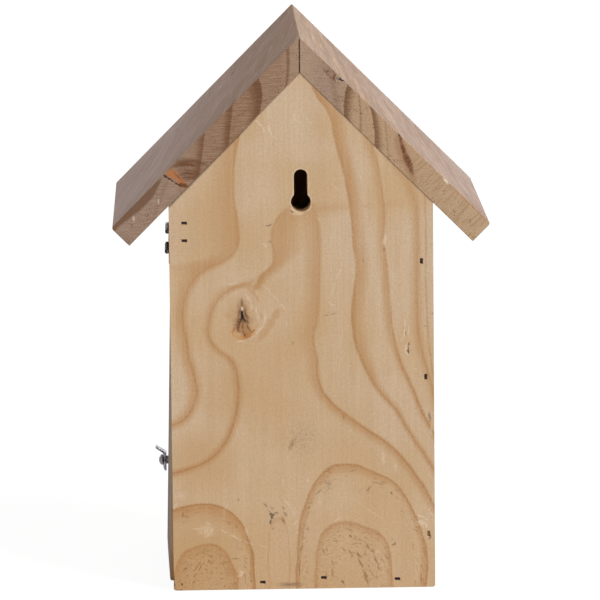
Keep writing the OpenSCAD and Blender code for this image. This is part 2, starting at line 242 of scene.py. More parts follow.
def make_stroke():
    """Adds a straight mark to the mask so far: its strength in its middle, 0 beyond its reach."""
    tree, net, given, result = new_group(
        "stroke",
        {
            "Place": (0, 0, 0), "Middle": (0, 0, 0), "Along": (1, 0, 0), "Across": (0, 1, 0),
            "Strength": 1.0, "Mask So Far": 0.0,
        },
        ("Mask",),
    )
    reach = net.vector("SUBTRACT", given["Place"], given["Middle"])
    along = net.vector("DOT_PRODUCT", reach, given["Along"])
    across = net.vector("DOT_PRODUCT", reach, given["Across"])
    gap = net.math("MULTIPLY_ADD", across, across, net.times(along, along))
    mark = net.ease(gap, 0.06, 1.0, given["Strength"], 0.0)
    net.feed(result["Mask"], net.larger(given["Mask So Far"], mark))
    return tree


def make_wood_fibres():
    """Fine fibres along Z of a place in mm: streaks, short resin dashes and a height."""
    tree, net, given, result = new_group(
        "wood_fibres", {"Vector": (0, 0, 0), "Seed": 0.0}, ("Streaks", "Dashes", "Height")
    )
    place = net.vector("ADD", given["Vector"], net.joined(given["Seed"], 0.0, given["Seed"]))
    fine = net.noise(net.scaled(place, 1.5, 1.5, 0.045), detail=4.0, roughness=0.65)
    broad = net.noise(net.scaled(place, 0.28, 0.28, 0.007), detail=3.0, roughness=0.55)
    both = net.plus(net.times(fine, 0.55), net.times(broad, 0.45))
    dashes = net.noise(net.scaled(place, 2.4, 2.4, 0.42), detail=1.0)
    net.feed(result["Streaks"], both)
    net.feed(result["Dashes"], net.ease(dashes, 0.69, 0.76))
    net.feed(result["Height"], fine)
    return tree


def make_growth_rings():
    """Growth rings round a pith that runs along Z, in mm: each darkens slowly and ends sharply."""
    tree, net, given, result = new_group(
        "growth_rings",
        {"Vector": (0, 0, 0), "Pith": (0, 0, 0), "Ring Width": 9.0, "Wander": 20.0},
        ("Rings",),
    )
    place = net.vector("SUBTRACT", given["Vector"], given["Pith"])
    bend = net.noise(net.scaled(place, 0.011, 0.011, 0.008), detail=1.5, part="Color")
    bend = net.vector("SUBTRACT", bend, (0.5, 0.5, 0.5))
    grown = net.node("VectorMath", operation="SCALE")
    net.feed(grown.inputs[0], bend)
    net.feed(grown.inputs["Scale"], given["Wander"])
    rough = net.noise(net.scaled(place, 1.1, 1.1, 0.05), detail=2.0)
    bent = net.parts(net.vector("ADD", place, grown.outputs["Vector"]))
    radius = net.vector("LENGTH", net.joined(bent["X"], bent["Y"], 0.0))
    radius = net.plus(radius, rough)
    phase = net.math("FRACT", net.math("DIVIDE", radius, given["Ring Width"]))
    rise = net.ease(phase, 0.35, 0.86)
    fall = net.ease(phase, 0.88, 0.99, 1.0, 0.0)
    net.feed(result["Rings"], net.times(rise, fall))
    return tree


def make_end_grain():
    """Cut fibre ends: dark pores as dots and faint rays that run along X of a place in mm."""
    tree, net, given, result = new_group("end_grain", {"Vector": (0, 0, 0)}, ("Pores", "Rays"))
    cells = net.node("TexVoronoi", {"Vector": given["Vector"], "Scale": 1.05})
    patch = net.noise(given["Vector"], scale=0.16, detail=1.0)
    reach = net.ease(patch, 0.42, 0.66, 0.05, 0.30)
    dots = net.math("LESS_THAN", cells.outputs["Distance"], reach)
    rays = net.noise(net.scaled(given["Vector"], 0.14, 1.5, 1.5), detail=3.0, roughness=0.6)
    net.feed(result["Pores"], dots)
    net.feed(result["Rays"], rays)
    return tree


def make_handling():
    """Wear from handling: fine pale scratches in patches, specks of dirt, slow changes of tone."""
    tree, net, given, result = new_group(
        "handling",
        {"Vector": (0, 0, 0), "Seed": 0.0, "Coverage": 0.5},
        ("Scratches", "Specks", "Tone"),
    )
    place = net.vector("ADD", given["Vector"], net.joined(given["Seed"], given["Seed"], 0.0))
    lines = net.noise(net.scaled(place, 0.10, 0.10, 0.035), detail=3.0, roughness=0.7)
    lines = net.math("ABSOLUTE", net.minus(lines, 0.5))
    lines = net.ease(lines, 0.0, 0.006, 1.0, 0.0)
    limit = net.minus(1.05, given["Coverage"])
    patch = net.noise(place, scale=0.045, detail=2.0)
    patch = net.ease(patch, limit, net.plus(limit, 0.12))
    specks = net.noise(place, scale=0.9, detail=2.0, roughness=0.6)
    specks = net.ease(specks, 0.70, 0.78)
    net.feed(result["Scratches"], net.times(lines, patch))
    net.feed(result["Specks"], specks)
    net.feed(result["Tone"], net.noise(place, scale=0.022, detail=2.0))
    return tree


GROWTH_LINE = make_growth_line()
STROKE = make_stroke()
WOOD_FIBRES = make_wood_fibres()
GROWTH_RINGS = make_growth_rings()
END_GRAIN = make_end_grain()
HANDLING = make_handling()


def new_material(name):
    """A material, its Principled shader, and each point's place in mm and face direction."""
    material = bpy.data.materials.new(name)
    material.use_nodes = True
    net = Net(material.node_tree)
    shader = material.node_tree.nodes["Principled BSDF"]
    coordinates = net.node("TexCoord")
    place = net.scaled(coordinates.outputs["Object"], 1 / MM, 1 / MM, 1 / MM)
    return material, net, shader, place, coordinates.outputs["Normal"]


def raise_surface(net, shader, height, depth):
    """Bumps the surface by height, which goes 0 to 1 over depth in mm."""
    bump = net.node("Bump", {"Height": height, "Distance": depth * MM, "Strength": 1.0})
    net.feed(shader.inputs["Normal"], bump.outputs["Normal"])


def sawn(net, place, pith, ring_width, wander, seed, coverage):
    """The fibres, growth rings and wear of a board whose length is along Z of place."""
    fibres = net.use(WOOD_FIBRES, Vector=place, Seed=seed)
    rings = net.use(GROWTH_RINGS, Vector=place, Pith=pith, Ring_Width=ring_width, Wander=wander)
    wear = net.use(HANDLING, Vector=place, Seed=seed, Coverage=coverage)
    return fibres, rings["Rings"], wear


def finish_wood(net, shader, colour, roughness, sheen, relief, depth):
    """Gives a board its colour and sheen, and a relief that is depth mm high."""
    net.feed(shader.inputs["Base Color"], colour)
    net.feed(shader.inputs["Roughness"], roughness)
    shader.inputs["Specular IOR Level"].default_value = sheen
    raise_surface(net, shader, relief, depth)


def marks(net, place, table):
    """The mask of several marks: (half width, strength, then x and y of each of its points), mm."""
    mask = 0.0
    for half, strength, *numbers in table:
        points = list(zip(numbers[::2], numbers[1::2]))
        for start, end in zip(points, points[1:]):
            middle = Vector(((start[0] + end[0]) / 2, (start[1] + end[1]) / 2, 0.0))
            way = Vector((end[0] - start[0], end[1] - start[1], 0.0))
            line = {
                "Middle": middle,
                "Along": way.normalized() / (way.length / 2 + half),
                "Across": Vector((-way.y, way.x, 0.0)).normalized() / half,
                "Strength": strength,
            }
            mask = net.use(STROKE, Place=place, Mask_So_Far=mask, **line)["Mask"]
    return mask


# ---------------------------------------------------------------- the back panel's pine

# Across is in mm to the right as the wall face is looked at, and height is in mm above the base.
LIGHT_PINE = srgb(213, 189, 162)
WARM_PINE = srgb(206, 174, 136)
GOLD_PINE = srgb(194, 156, 110)
CORE_WOOD = srgb(156, 108, 68)
LATE_WOOD = srgb(182, 138, 92)
FIBRE_SHADE = srgb(176, 142, 104)
PALE_SCRATCH = srgb(228, 208, 186)
# The colour of dirt specks and marks, and also of the painted shade line under the roof.
DIRT_AND_SHADE = srgb(92, 74, 60)
RESIN = srgb(140, 92, 50)
KNOT_BLACK = srgb(22, 14, 10)
KNOT_BROWN = srgb(104, 62, 34)
KNOT_ORANGE = srgb(196, 132, 66)
TORN_RIM = srgb(218, 192, 158)
BACK_SHEEN = 0.22
PINE_RELIEF = 0.10  # mm
DASH_SHARE = 0.22  # how strongly the fibres' resin dashes show

LINE_LEFT = (
    (79.7, -61.8), (83.4, -55.1), (88.6, -51.7), (94.7, -50.2), (102.8, -51.1), (111.9, -53.4),
    (121.9, -54.9), (131, -56.2), (142.7, -54.3), (149.3, -50.5), (154.3, -44.7), (157.2, -38),
    (160.9, -32.2), (166.7, -29.7), (175.1, -30), (187.6, -31.6), (200.3, -31.5), (212.7, -29.8),
    (225, -27),
)
LINE_SWIRL = (
    (56.4, -62), (58.4, -55.3), (62.4, -45.3), (69.8, -37.7), (78.1, -33.5), (88.9, -30.9),
    (99, -30.4), (107.4, -31.6), (111.7, -34.9), (116.5, -40.8), (123.2, -44.3), (129.2, -43.6),
    (135.1, -41.9), (140.9, -38.1), (144.6, -32.3), (146.9, -25.6), (150, -19.5),
)
LINE_FLARE = (
    (146.6, -20.6), (150.7, -18.1), (154.9, -13.9), (159.9, -12.2), (166.6, -13.5), (175, -12.1),
    (180.8, -7.1), (184, 0),
)
LINE_MIDDLE = (
    (36, 64), (39.5, 61.7), (51.5, 54.8), (60.9, 48.2), (69.4, 39.8), (76.3, 29.9), (83.2, 20.7),
    (90, 13.3), (98.5, 7.9), (111.2, 6.3), (122.2, 5.2), (128.7, 6.7), (145.5, 8.1), (166.5, 8.6),
    (174.9, 7.8), (183.3, 5.3), (187, 3),
)
LINE_RIGHT_INNER = (
    (56.4, 61.8), (65, 56.5), (74.3, 50.7), (85.3, 44.1), (93.9, 36.6), (104, 30.8), (113.4, 26.7),
    (123.5, 24.2), (130.7, 23.5), (141.2, 24.7), (153.7, 26), (166.4, 24.8), (183.2, 23.2),
    (195.8, 21.2), (212.6, 17.1), (227, 13.9), (235.3, 8.1), (240.8, 6.1),
)
LINE_RIGHT_MIDDLE = (
    (73.3, 61.8), (86, 55.7), (97.9, 50.8), (109.8, 45.8), (123.3, 42.5), (132.6, 41.7),
    (145.2, 40.5), (157.9, 39.4), (166.3, 38.5), (179, 39), (191.5, 37.8), (204.2, 35.8),
    (210.9, 33.7), (215.5, 32.4),
)
LINE_RIGHT_OUTER = (
    (91, 61.9), (100.3, 59.9), (112.2, 56.7), (123.1, 54.6), (136.7, 54.2), (149.3, 53.9),
    (166.2, 54.3), (183, 53.6), (195.2, 49.9), (202.5, 45.6),
)
LINE_RIGHT_EDGE = (
    (100, 62), (120, 59.5), (140, 58.6), (165, 58.4), (190, 58.2),
)

# Line, dark width on its left (low, high), on its right (low, high), darkness (low, high), the
# heights between which low goes to high, and the lowest and highest height where the line shows.
BACK_LINES = (
    (LINE_LEFT, (6.0, 13.0), (4.0, 1.4), (0.78, 0.75), (140, 168), (60, 260)),
    (LINE_SWIRL, (3.4, 3.2), (3.2, 2.6), (0.85, 0.60), (95, 128), (40, 152)),
    (LINE_FLARE, (2.0, 1.4), (4.5, 20.0), (0.95, 0.62), (150, 168), (141, 187)),
    (LINE_MIDDLE, (4.5, 10.0), (1.8, 2.0), (0.80, 0.60), (80, 130), (20, 190)),
    (LINE_RIGHT_INNER, (2.4, 1.2), (2.6, 7.5), (0.70, 0.85), (80, 124), (40, 260)),
    (LINE_RIGHT_MIDDLE, (2.4, 5.0), (1.8, 1.5), (0.75, 0.65), (98, 140), (50, 260)),
    (LINE_RIGHT_OUTER, (3.0, 4.5), (2.6, 3.6), (0.55, 0.60), (95, 130), (70, 260)),
    (LINE_RIGHT_EDGE, (0.6, 0.6), (0.8, 0.8), (0.45, 0.45), (95, 130), (95, 260)),
)
LINE_HEIGHT = 250.0  # the height that one drawn line spans
LINE_REACH = 70.0  # and how far it goes to each side
LINE_FADE = 7.0  # how far from its lowest and highest height it fades
SLOPE_STEP = 2.0  # the rise over which its slope is taken

# Each arch stands on the base. It has its centre across, then its outline and how thick its dark
# wood is, in mm by the angle round its centre, from 0 at the right to 180 at the left. Then come
# its outer fade, its darkness, how dark its inside is, and how far in its dashes reach.
BACK_ARCHES = (
    (
        26, (
            (0, 31), (20, 34.4), (35, 38), (43, 40.1), (49, 42.3), (56, 45.4), (61.5, 48.2),
            (67, 51.1), (72, 53.5), (80, 55.4), (86, 57.3), (91, 59.2), (96, 60), (101, 60.2),
            (104, 59.6), (107, 58), (112, 54.9), (117, 51.2), (123, 47), (130, 43), (137, 38.9),
            (150, 33.6), (165, 30.6), (180, 29.2),
        ), (
            (0, 5.5), (28, 4.4), (45, 3.4), (60, 2.6), (75, 3.2), (85, 5.6), (104, 6), (120, 5.2),
            (150, 3.2), (180, 2.6),
        ), 1.1, 0.75, 0, 5,
    ),
    (
        20, (
            (0, 21.6), (12, 21.8), (30, 24.1), (41, 26.8), (50, 28.9), (59, 30.2), (70, 30.4),
            (80, 31), (88, 31.6), (95, 31.7), (103, 31), (110, 29.6), (117, 27.3), (124, 24),
            (141, 18.4), (160, 15.8), (180, 14.8),
        ), (
            (0, 3), (60, 3.6), (90, 4.4), (130, 4), (180, 3),
        ), 1.4, 0.55, 0.18, 16,
    ),
    (
        -46.7, (
            (0, 22.8), (5, 23), (23, 24.5), (36, 27.6), (43, 29.4), (51.5, 31.8), (59, 34.8),
            (66, 37.4), (72, 39.1), (79, 40.4), (85.5, 41.2), (92, 41.5), (105, 41.6), (125, 41),
            (180, 41),
        ), (
            (0, 2.2), (23, 2.4), (37, 3), (46, 4), (54, 4.8), (62, 6.6), (72, 9), (92, 9.6),
            (114, 8), (180, 8),
        ), 1, 0.95, 0, 6,
    ),
    (
        -46.7, (
            (0, 15), (10, 15.2), (25, 16.7), (35, 16.7), (46, 17.6), (57, 19.4), (66, 20.8),
            (77, 22), (86, 22.1), (97, 21.7), (108, 21.1), (120, 20.7), (132, 19.1), (144, 17.5),
            (180, 16),
        ), (
            (0, 4), (40, 5), (90, 5.6), (140, 6.5), (180, 6),
        ), 1.3, 0.62, 0.44, 16,
    ),
    (
        -12, (
            (0, 5), (40, 6.4), (60, 10.5), (75, 19), (90, 34), (105, 19), (120, 10.5), (140, 6.4),
            (180, 5),
        ), (
            (0, 2), (90, 3), (180, 2),
        ), 1.6, 0.3, 0, -10,
    ),
)

KNOT = (-28.2, 131.6)

# Where the panel is yellower or paler: (centre, half width, half height, strength), in mm.
GOLD_SPOTS = (
    ((-12, 108), 62, 82, 0.36), ((-46, 172), 26, 34, 0.45), ((-52, 14), 36, 44, 0.85),
    ((0, 0), 75, 42, 0.42), ((46, 70), 34, 50, 0.22), ((-48, 62), 26, 24, 0.75),
    ((-38, 95), 18, 26, 0.4),
)
PALE_SPOTS = (
    ((-19, 194), 15, 32, 0.4), ((26, 196), 10, 34, 0.35), ((17, 128), 9, 32, 0.45),
    ((38, 132), 12, 30, 0.3), ((-12, 128), 14, 16, 0.3), ((-46, 106), 12, 24, 0.15),
    ((24, 186), 10, 34, 0.45), ((58, 150), 10, 50, 0.35),
)

# Marks are (half width, strength, then the across and height of each point on the mark), in mm.
PALE_SCRATCHES = (
    (0.4, 0.6, -39.8, 29.3, -36, 27.1, -29.2, 23.8, -23.1, 21.2),
    (0.35, 0.5, -21.2, 21.7, -17.5, 19.9), (0.6, 0.5, -53.1, 29.9, -48.2, 29.5),
    (0.5, 0.5, -46.6, 32.7, -43.6, 31.6), (0.5, 0.5, -47.4, 25.5, -44.4, 26.7),
    (0.8, 0.25, -38, 36.5, -36.1, 42.1), (0.9, 0.35, -27.3, 29.8, -26.9, 26.4),
    (0.7, 0.8, -31.4, 6.5, -29.7, 6.9, -29.1, 8.2), (0.5, 0.6, -29.1, 7.8, -30.2, 9),
    (0.7, 0.4, -61.4, 39.9, -59.8, 42.2), (0.7, 0.35, -61.5, 45.4, -58.3, 45.4),
    (0.5, 0.8, 53.4, 35.7, 57.4, 33), (0.5, 0.7, 57.4, 32.8, 58.8, 32.8),
    (0.7, 0.7, 53.7, 31.6, 55.9, 32.1), (0.7, 0.7, 54.4, 30.3, 57, 31.2),
    (0.6, 0.8, 56.3, 31.6, 58.6, 28.6), (0.6, 0.4, 60.9, 45.1, 60.7, 39.9),
    (0.5, 0.7, 60.5, 39, 58.8, 36.5), (0.5, 0.7, 60.1, 35.9, 61.1, 34.5),
    (0.7, 0.45, 33.3, 17.1, 36.2, 17.6), (0.6, 0.3, 14.2, 193.7, 18.9, 189.7),
    (0.4, 0.35, 6.6, 178.7, 9.6, 175.4), (0.7, 0.4, -18.8, 166.4, -16.1, 164.2),
    (0.5, 0.4, -10.1, 54.3, -9.4, 48.7), (0.55, 0.55, -8.9, 42.5, -5.8, 39.7, -4.6, 35),
    (0.6, 0.4, -3.5, 33, -4.8, 30.6), (0.5, 0.35, -7.4, 49.4, -4, 47.3),
    (0.9, 0.45, 2.2, 52.9, 2.2, 51.9), (0.6, 0.55, 14.1, 31.9, 17.8, 34.8),
    (0.8, 0.25, 7.3, 44.2, 7.8, 40.2), (0.6, 0.4, -3.4, 27.6, -3.3, 26.6),
    (0.4, 0.5, -18.4, 146.8, -14.1, 141.6, -10.4, 137.5, -7.3, 133.4),
    (0.5, 0.3, -7.4, 129.4, -7.2, 125.9), (0.8, 0.3, -34.5, 146.7, -31.6, 146.8),
    (0.5, 0.8, -20.8, 224.4, -19.7, 222.7, -17.5, 220.6, -16.6, 218.2),
    (0.5, 0.85, -14.7, 221.6, -14.3, 218.9, -13.5, 217), (0.35, 0.6, -13.5, 217, -10.5, 214.8),
    (0.8, 0.5, -2.4, 227.7, -3.1, 224.2), (0.35, 0.6, -3.1, 224.4, -0.7, 223.3, -0.1, 221.8),
    (0.35, 0.6, -0.6, 226.3, -0.3, 224.2), (0.5, 0.7, 2.8, 224.6, 3.6, 223.2),
    (0.5, 0.7, 4.2, 222.9, 5.2, 222.1), (0.8, 0.25, -14.6, 232.6, -14.7, 223.3),
    (0.3, 0.4, 17, 47.3, 42.1, 29.6), (0.35, 0.5, 19.4, 154.6, 15.6, 147.5, 13.6, 138.9),
    (0.5, 0.6, 12.7, 137.5, 14.6, 135.5), (0.35, 0.4, 13.6, 136, 16.5, 136.5),
    (0.5, 0.75, 48.2, 129, 48.3, 124.7), (0.6, 1, 48.2, 123.9, 48, 120.1),
    (0.4, 0.6, 50.4, 126.6, 49.9, 119.4), (0.45, 1, 48.7, 117, 48.6, 113.8),
    (0.5, 1.2, 48.6, 113.8, 49.8, 111.7), (1, 0.7, 39.8, 169.4, 38.9, 164.1),
    (0.5, 0.5, 51.9, 105.6, 53.6, 104.4), (1, 0.5, 37.3, 66.2, 38.2, 59),
    (0.6, 0.45, 43.2, 60.4, 43.8, 56), (0.8, 0.5, 60.4, 77.9, 60.6, 72.6),
    (0.8, 0.3, 43.6, 104.5, 44.1, 98.8), (0.5, 0.45, 47, 120.3, 46.8, 118.4),
)
PALE_SMUDGES = (
    ((-46, 28.6), 6, 4, 0.65, 0.42), ((56.5, 31), 3.2, 2.6, 0.6, 0.42),
    ((-30, 8), 1.8, 1.8, 0.55, 0.46), ((-58, 46), 4, 3, 0.35, 0.44),
)
DARK_SMUDGES = (
    ((-14.8, 37), 3.4, 5.5, 0.85, 0.54), ((-9.2, 36.5), 2.8, 5, 0.6, 0.56),
    ((-1, 73), 11, 12, 0.2, 0.44), ((-7, 2.2), 9, 1.6, 0.6, 0.4), ((11.5, 49), 4, 5, 0.35, 0.48),
)
DARK_MARKS = (
    (0.4, 0.55, -34.8, 15.3, -31.2, 14.7), (0.8, 0.45, -57.6, 35.9, -57, 37.2),
    (0.6, 0.55, -56.8, 10.6, -55.5, 10.6), (0.7, 0.5, -19.2, 41.5, -17.3, 39.5),
    (0.8, 0.9, -16.2, 36.7, -14.9, 35.7), (0.9, 0.95, -14.7, 36.4, -15.1, 34.2),
    (0.8, 0.95, -15.7, 33.4, -15.7, 31.7), (0.7, 0.6, -13.9, 37.1, -12.8, 36.9),
    (0.5, 0.5, -14.2, 29.9, -14.8, 28.9), (0.6, 0.55, -9.8, 39.4, -9.5, 38.8),
    (0.7, 0.7, 59.4, 23.2, 60.3, 24.9), (0.8, 0.7, 42, 20.5, 42.8, 21),
    (0.5, 0.6, 41.8, 23.6, 41.9, 23.5), (0.7, 0.85, 17.7, 3.7, 18.6, 1.9),
    (0.5, 0.85, -5.1, 181.5, -3.2, 179.7), (0.6, 0.8, -16.2, 173.9, -14.2, 174.8),
    (0.7, 0.45, -14.9, 166.6, -14.6, 166.4), (0.5, 0.5, -3.9, 119.2, -4.3, 117.5),
    (0.5, 0.45, -0.4, 29.5, -0.8, 22.6), (0.7, 0.4, 10.3, 52, 12.7, 50.2),
    (0.7, 0.45, 6.1, 45.7, 8.3, 47.9), (0.7, 0.95, -61.9, 0.3, -61.9, 7.8),
    (0.5, 0.8, -61.8, 0.2, -56, 0.1), (0.6, 1.3, -58.3, 2.9, -58.2, 3),
    (0.6, 0.5, 2.3, 39.6, 2.7, 38.9), (0.6, 0.45, 3.9, 42, 4.2, 41.5),
    (0.6, 0.5, 0.9, 29.1, 2.5, 28.4), (0.3, 0.6, 9.6, 131, 12.6, 131.3, 16.7, 132.4),
    (0.5, 0.5, 28.9, 157.5, 29, 157.1), (0.35, 0.8, 48.6, 123.4, 48.5, 120.8),
    (0.55, 1.1, 50.5, 118.1, 49.8, 115.8), (0.6, 1.15, 49.8, 115.8, 50, 112.4),
    (0.8, 0.6, 59.5, 84.2, 60.2, 79.3), (0.6, 0.5, 19.3, 83.3, 19.3, 81.6),
    (0.5, 0.6, 61, 131.5, 61, 130.8), (0.5, 0.5, 57.9, 125.8, 57.9, 125.3),
    (0.4, 0.6, 29.1, 46.9, 32.2, 49), (0.4, 0.4, 25.6, 45.8, 28.2, 48.6),
    (0.6, 0.5, 41.3, 46, 41.3, 45), (0.7, 0.45, 38.9, 162.9, 39.1, 161.7),
)
BROWN_STROKES = (
    (0.45, 0.9, -53, 8.9, -49.2, 13.7), (0.4, 0.75, -52.6, 6.4, -50.9, 8.6, -47.5, 13.7),
    (0.55, 0.8, -53.5, 2.7, -52, 4.9), (0.5, 0.7, -45.6, 17.1, -43.2, 16.1),
    (0.6, 0.8, -45.7, 13.7, -44.9, 14.7), (0.7, 0.85, -43.9, 13.8, -43.6, 13.3),
    (0.7, 0.55, -38.6, 12.9, -38.2, 12), (0.5, 0.55, -39.9, 7.5, -39.2, 8.5),
    (0.6, 0.5, -38, 1.3, -37.2, 2.7), (0.9, 0.6, -9.4, 36.7, -7.9, 35.9),
    (1, 0.8, -10.2, 34.1, -9.4, 32.5), (0.7, 0.7, -32.8, 31.1, -32.2, 30.7),
    (0.6, 0.6, -30.8, 43.3, -30.5, 43), (0.45, 0.5, -25.1, 16.1, -25.6, 10.4, -25.2, 1.2),
    (0.6, 0.8, 21.6, 25.8, 22.1, 24.8), (0.5, 0.6, 24.1, 25.3, 24.4, 24.4),
    (0.5, 0.55, 25.9, 24.1, 26.9, 22.8), (0.5, 0.7, 18.3, 19.5, 19.5, 17.5),
    (0.6, 0.75, 20.7, 19, 23.2, 14.8), (0.7, 0.95, 24.7, 17.3, 26.9, 14.5),
    (0.6, 0.85, 25.2, 14.9, 27.8, 9.7), (1, 0.75, 27.8, 9.7, 30.4, 0.3),
    (0.7, 0.85, 29.6, 20.7, 30.6, 18.7), (0.6, 0.7, 32.1, 18.8, 33.2, 16.4),
    (0.6, 0.8, 33.1, 16.2, 35.2, 10.5), (0.6, 0.7, 34.7, 10.7, 36, 8.3),
    (0.6, 0.5, 30.7, 8.9, 32.9, 5.4), (0.4, 0.6, 31.9, 49.3, 30, 45.5),
    (0.6, 0.6, 41.6, 45.8, 41.8, 44.9), (0.6, 0.6, 55.1, 7.3, 55.4, 1.4),
    (0.6, 0.7, 8.1, 19.9, 9.6, 16.4), (0.5, 0.6, 10.4, 19.9, 11.1, 17.9),
    (0.6, 0.6, 12.5, 14.4, 14.1, 10.4), (0.7, 0.6, 13, 9.9, 13.7, 4.5),
    (0.5, 0.55, 9.5, 8.5, 10.6, 5.9), (0.5, 0.5, 0.7, 9, 1.5, 7.1),
    (0.5, 0.65, -0.4, 22.6, -2.1, 16.7, -2.5, 2.9), (1.2, 0.45, -3.9, 73, -6.8, 66.6),
    (0.6, 0.4, -0.2, 28.5, 0.6, 33.4, 2.6, 37.8),
)
KNOT_SLIT = (
    (0.8, 1, -28.2, 134.2, -27.9, 131.4), (1.15, 1, -28, 132.2, -27.7, 129.9),
    (0.5, 0.9, -28, 130.8, -29.1, 128.8), (0.5, 0.9, -27.7, 130.8, -26.6, 129),
)
KNOT_STAIN = (
    (3.4, 0.42, -28.4, 137.8, -27.4, 125.6), (3.4, 0.34, -30, 129, -25.4, 129),
    (1.7, 0.55, -29.2, 131.6, -30.6, 124.6), (1.4, 0.5, -27, 133.6, -24.6, 127.2),
    (3.6, 0.38, -28, 128, -26, 122.4), (1.3, 0.45, -28.3, 139.4, -28.1, 134.6),
)
KNOT_RAYS = (
    (1, 0.95, -29.3, 129.9, -29.7, 127.8, -30.3, 125.2), (0.7, 0.8, -28.9, 135.3, -29.6, 131),
    (0.7, 0.8, -26.9, 135, -26, 130.1, -25.2, 127.7), (0.6, 0.8, -27.9, 128.2, -28, 124.5),
    (0.6, 0.8, -28, 124.9, -26.8, 121.7), (0.6, 0.8, -26.2, 128, -24.9, 124.4),
    (0.6, 0.8, -24.9, 124.8, -23.7, 123.4), (0.5, 0.7, -32.4, 127.1, -29.5, 127.1),
    (1.1, 0.7, -28.6, 129, -25.8, 128.8), (0.7, 0.5, -28.1, 138.8, -28.2, 136.2),
    (0.8, 0.6, -30.5, 124.9, -29.3, 123.7), (0.6, 0.7, -22.3, 124.9, -24, 123.3),
    (0.6, 0.5, -31.4, 126.4, -32.6, 123.4),
)
KNOT_GLOW = (
    (1.2, 0.55, -32.4, 122.4, -29.8, 121.3), (1.4, 0.75, -29.8, 121.4, -26.9, 121.1),
    (2, 0.95, -27.6, 121.4, -23.4, 123), (1.2, 0.6, -24, 122.8, -22.1, 125.2),
    (1, 0.4, -22.1, 125, -20.4, 128.2), (1.2, 0.4, -32.9, 125.6, -32.1, 121.8),
    (3.4, 0.45, -31, 125, -24, 124.6),
)
KNOT_PALE = (
    (0.6, 0.35, -17, 132.9, -17.8, 127.4, -22, 122.3, -26.6, 119.6, -31.2, 119.5),
    (0.4, 0.4, -21.6, 136.4, -21.2, 131.8, -20.7, 128.9), (0.6, 0.8, -28.3, 135.6, -28.2, 134.6),
    (1, 0.25, -25.6, 141.4, -23.9, 137.6, -23.6, 134.1),
)
KNOT_SHADE = (
    (2.4, 0.5, -11.1, 133.5, -13.6, 130, -16.2, 125.1, -20, 120.5),
    (0.8, 0.5, -19.6, 132.7, -18.6, 130.1), (2.4, 0.4, -35.2, 132.2, -30.6, 130.5),
    (1.8, 0.35, -24.2, 131.8, -22, 128.9), (4.2, 0.45, -27.9, 137.7, -28, 126.1),
    (1.2, 0.45, -26.5, 146, -23.9, 143.7, -21.6, 141.1, -20.6, 138.5),
    (2, 0.6, -21.6, 145.4, -20.6, 145.4),
    (1.4, 0.5, -33.6, 144.4, -29.3, 146, -25.9, 146.5, -21.9, 145.1),
)


def spot_mask(net, place, centre, wide, high, strength):
    """A soft oval: its strength in the middle, 0 from its half width and half height on."""
    away = net.vector("SUBTRACT", place, (*centre, 0.0))
    away = net.vector("LENGTH", net.scaled(away, 1 / wide, 1 / high, 0.0))
    return net.ease(away, 0.2, 1.0, strength, 0.0)


def smudges(net, place, grit, table):
    """The mask of patches of specks: (centre, half width, half height, strength, bare share)."""
    masks = []
    for *spot, bare in table:
        masks.append(net.times(spot_mask(net, place, *spot), net.ease(grit, bare, bare + 0.12)))
    return net.most(masks)


def drawn_line(net, along, points, span=LINE_HEIGHT):
    """Where a line drawn through (along, across) points is, in mm across."""
    share = net.math("DIVIDE", along, span)
    curve = net.node("FloatCurve", {"Factor": 1.0, "Value": share})
    line = curve.mapping.curves[0]
    for index, (step, across) in enumerate(points):
        spot = (step / span, 0.5 + across / (2 * LINE_REACH))
        if index < 2:
            line.points[index].location = spot
        else:
            line.points.new(*spot)
    curve.mapping.update()
    return net.times(net.minus(curve.outputs["Value"], 0.5), 2 * LINE_REACH)


def beside_line(net, across, height, points):
    """How far a place is to the right of the drawn line, square to it, in mm."""
    here = drawn_line(net, height, points)
    above = drawn_line(net, net.plus(height, SLOPE_STEP), points)
    slope = net.math("DIVIDE", net.minus(above, here), SLOPE_STEP)
    length = net.math("SQRT", net.plus(net.times(slope, slope), 1.0))
    return net.math("DIVIDE", net.minus(across, here), length)


def arch(net, across, height, centre, outline, thickness, fade, darkness, inside, dash_reach):
    """An arch on the base, as masks of its dark wood, thin core, inside and brown dashes."""
    side = net.minus(across, centre)
    up = net.larger(height, 0.0)
    turn = net.times(net.math("ARCTAN2", up, side), math.degrees(1.0))
    away = net.vector("LENGTH", net.joined(side, up, 0.0))
    beyond = net.minus(away, drawn_line(net, turn, outline, 180.0))
    thick = drawn_line(net, turn, thickness, 180.0)
    line = net.use(GROWTH_LINE, Distance=beyond, Left_Width=thick, Right_Width=fade)
    within = net.ease(beyond, -12.0, 0.0, inside * 0.4, inside)
    within = net.times(within, net.ease(beyond, -0.5, 0.5, 1.0, 0.0))
    ringed = net.joined(net.times(away, 1.1), net.times(turn, 0.12), centre)
    dashes = net.ease(net.noise(ringed, detail=2.0, roughness=0.6), 0.56, 0.68)
    reached = net.plus(beyond, dash_reach)
    near = net.ease(reached, -4.0, 2.0, 0.0, net.ease(beyond, -1.0, 0.0, 0.58, 0.0))
    dashes = net.times(dashes, near)
    dark_wood, core = (net.times(line[part], darkness) for part in ("Mask", "Core"))
    return dark_wood, core, within, dashes


def keyhole_edge(net, across, height):
    """How far a place is outside the keyhole's edge, in mm."""
    up = net.minus(height, KEYHOLE_HEIGHT)
    low = net.minus(net.vector("LENGTH", net.joined(across, up, 0.0)), KEYHOLE_RADIUS)
    above = net.larger(net.minus(height, KEYHOLE_SLOT_TOP), 0.0)
    below = net.larger(net.minus(KEYHOLE_HEIGHT, height), 0.0)
    off_end = net.plus(above, below)
    slot = net.minus(net.vector("LENGTH", net.joined(across, off_end, 0.0)), KEYHOLE_SLOT_HALF)
    return net.math("MINIMUM", low, slot)


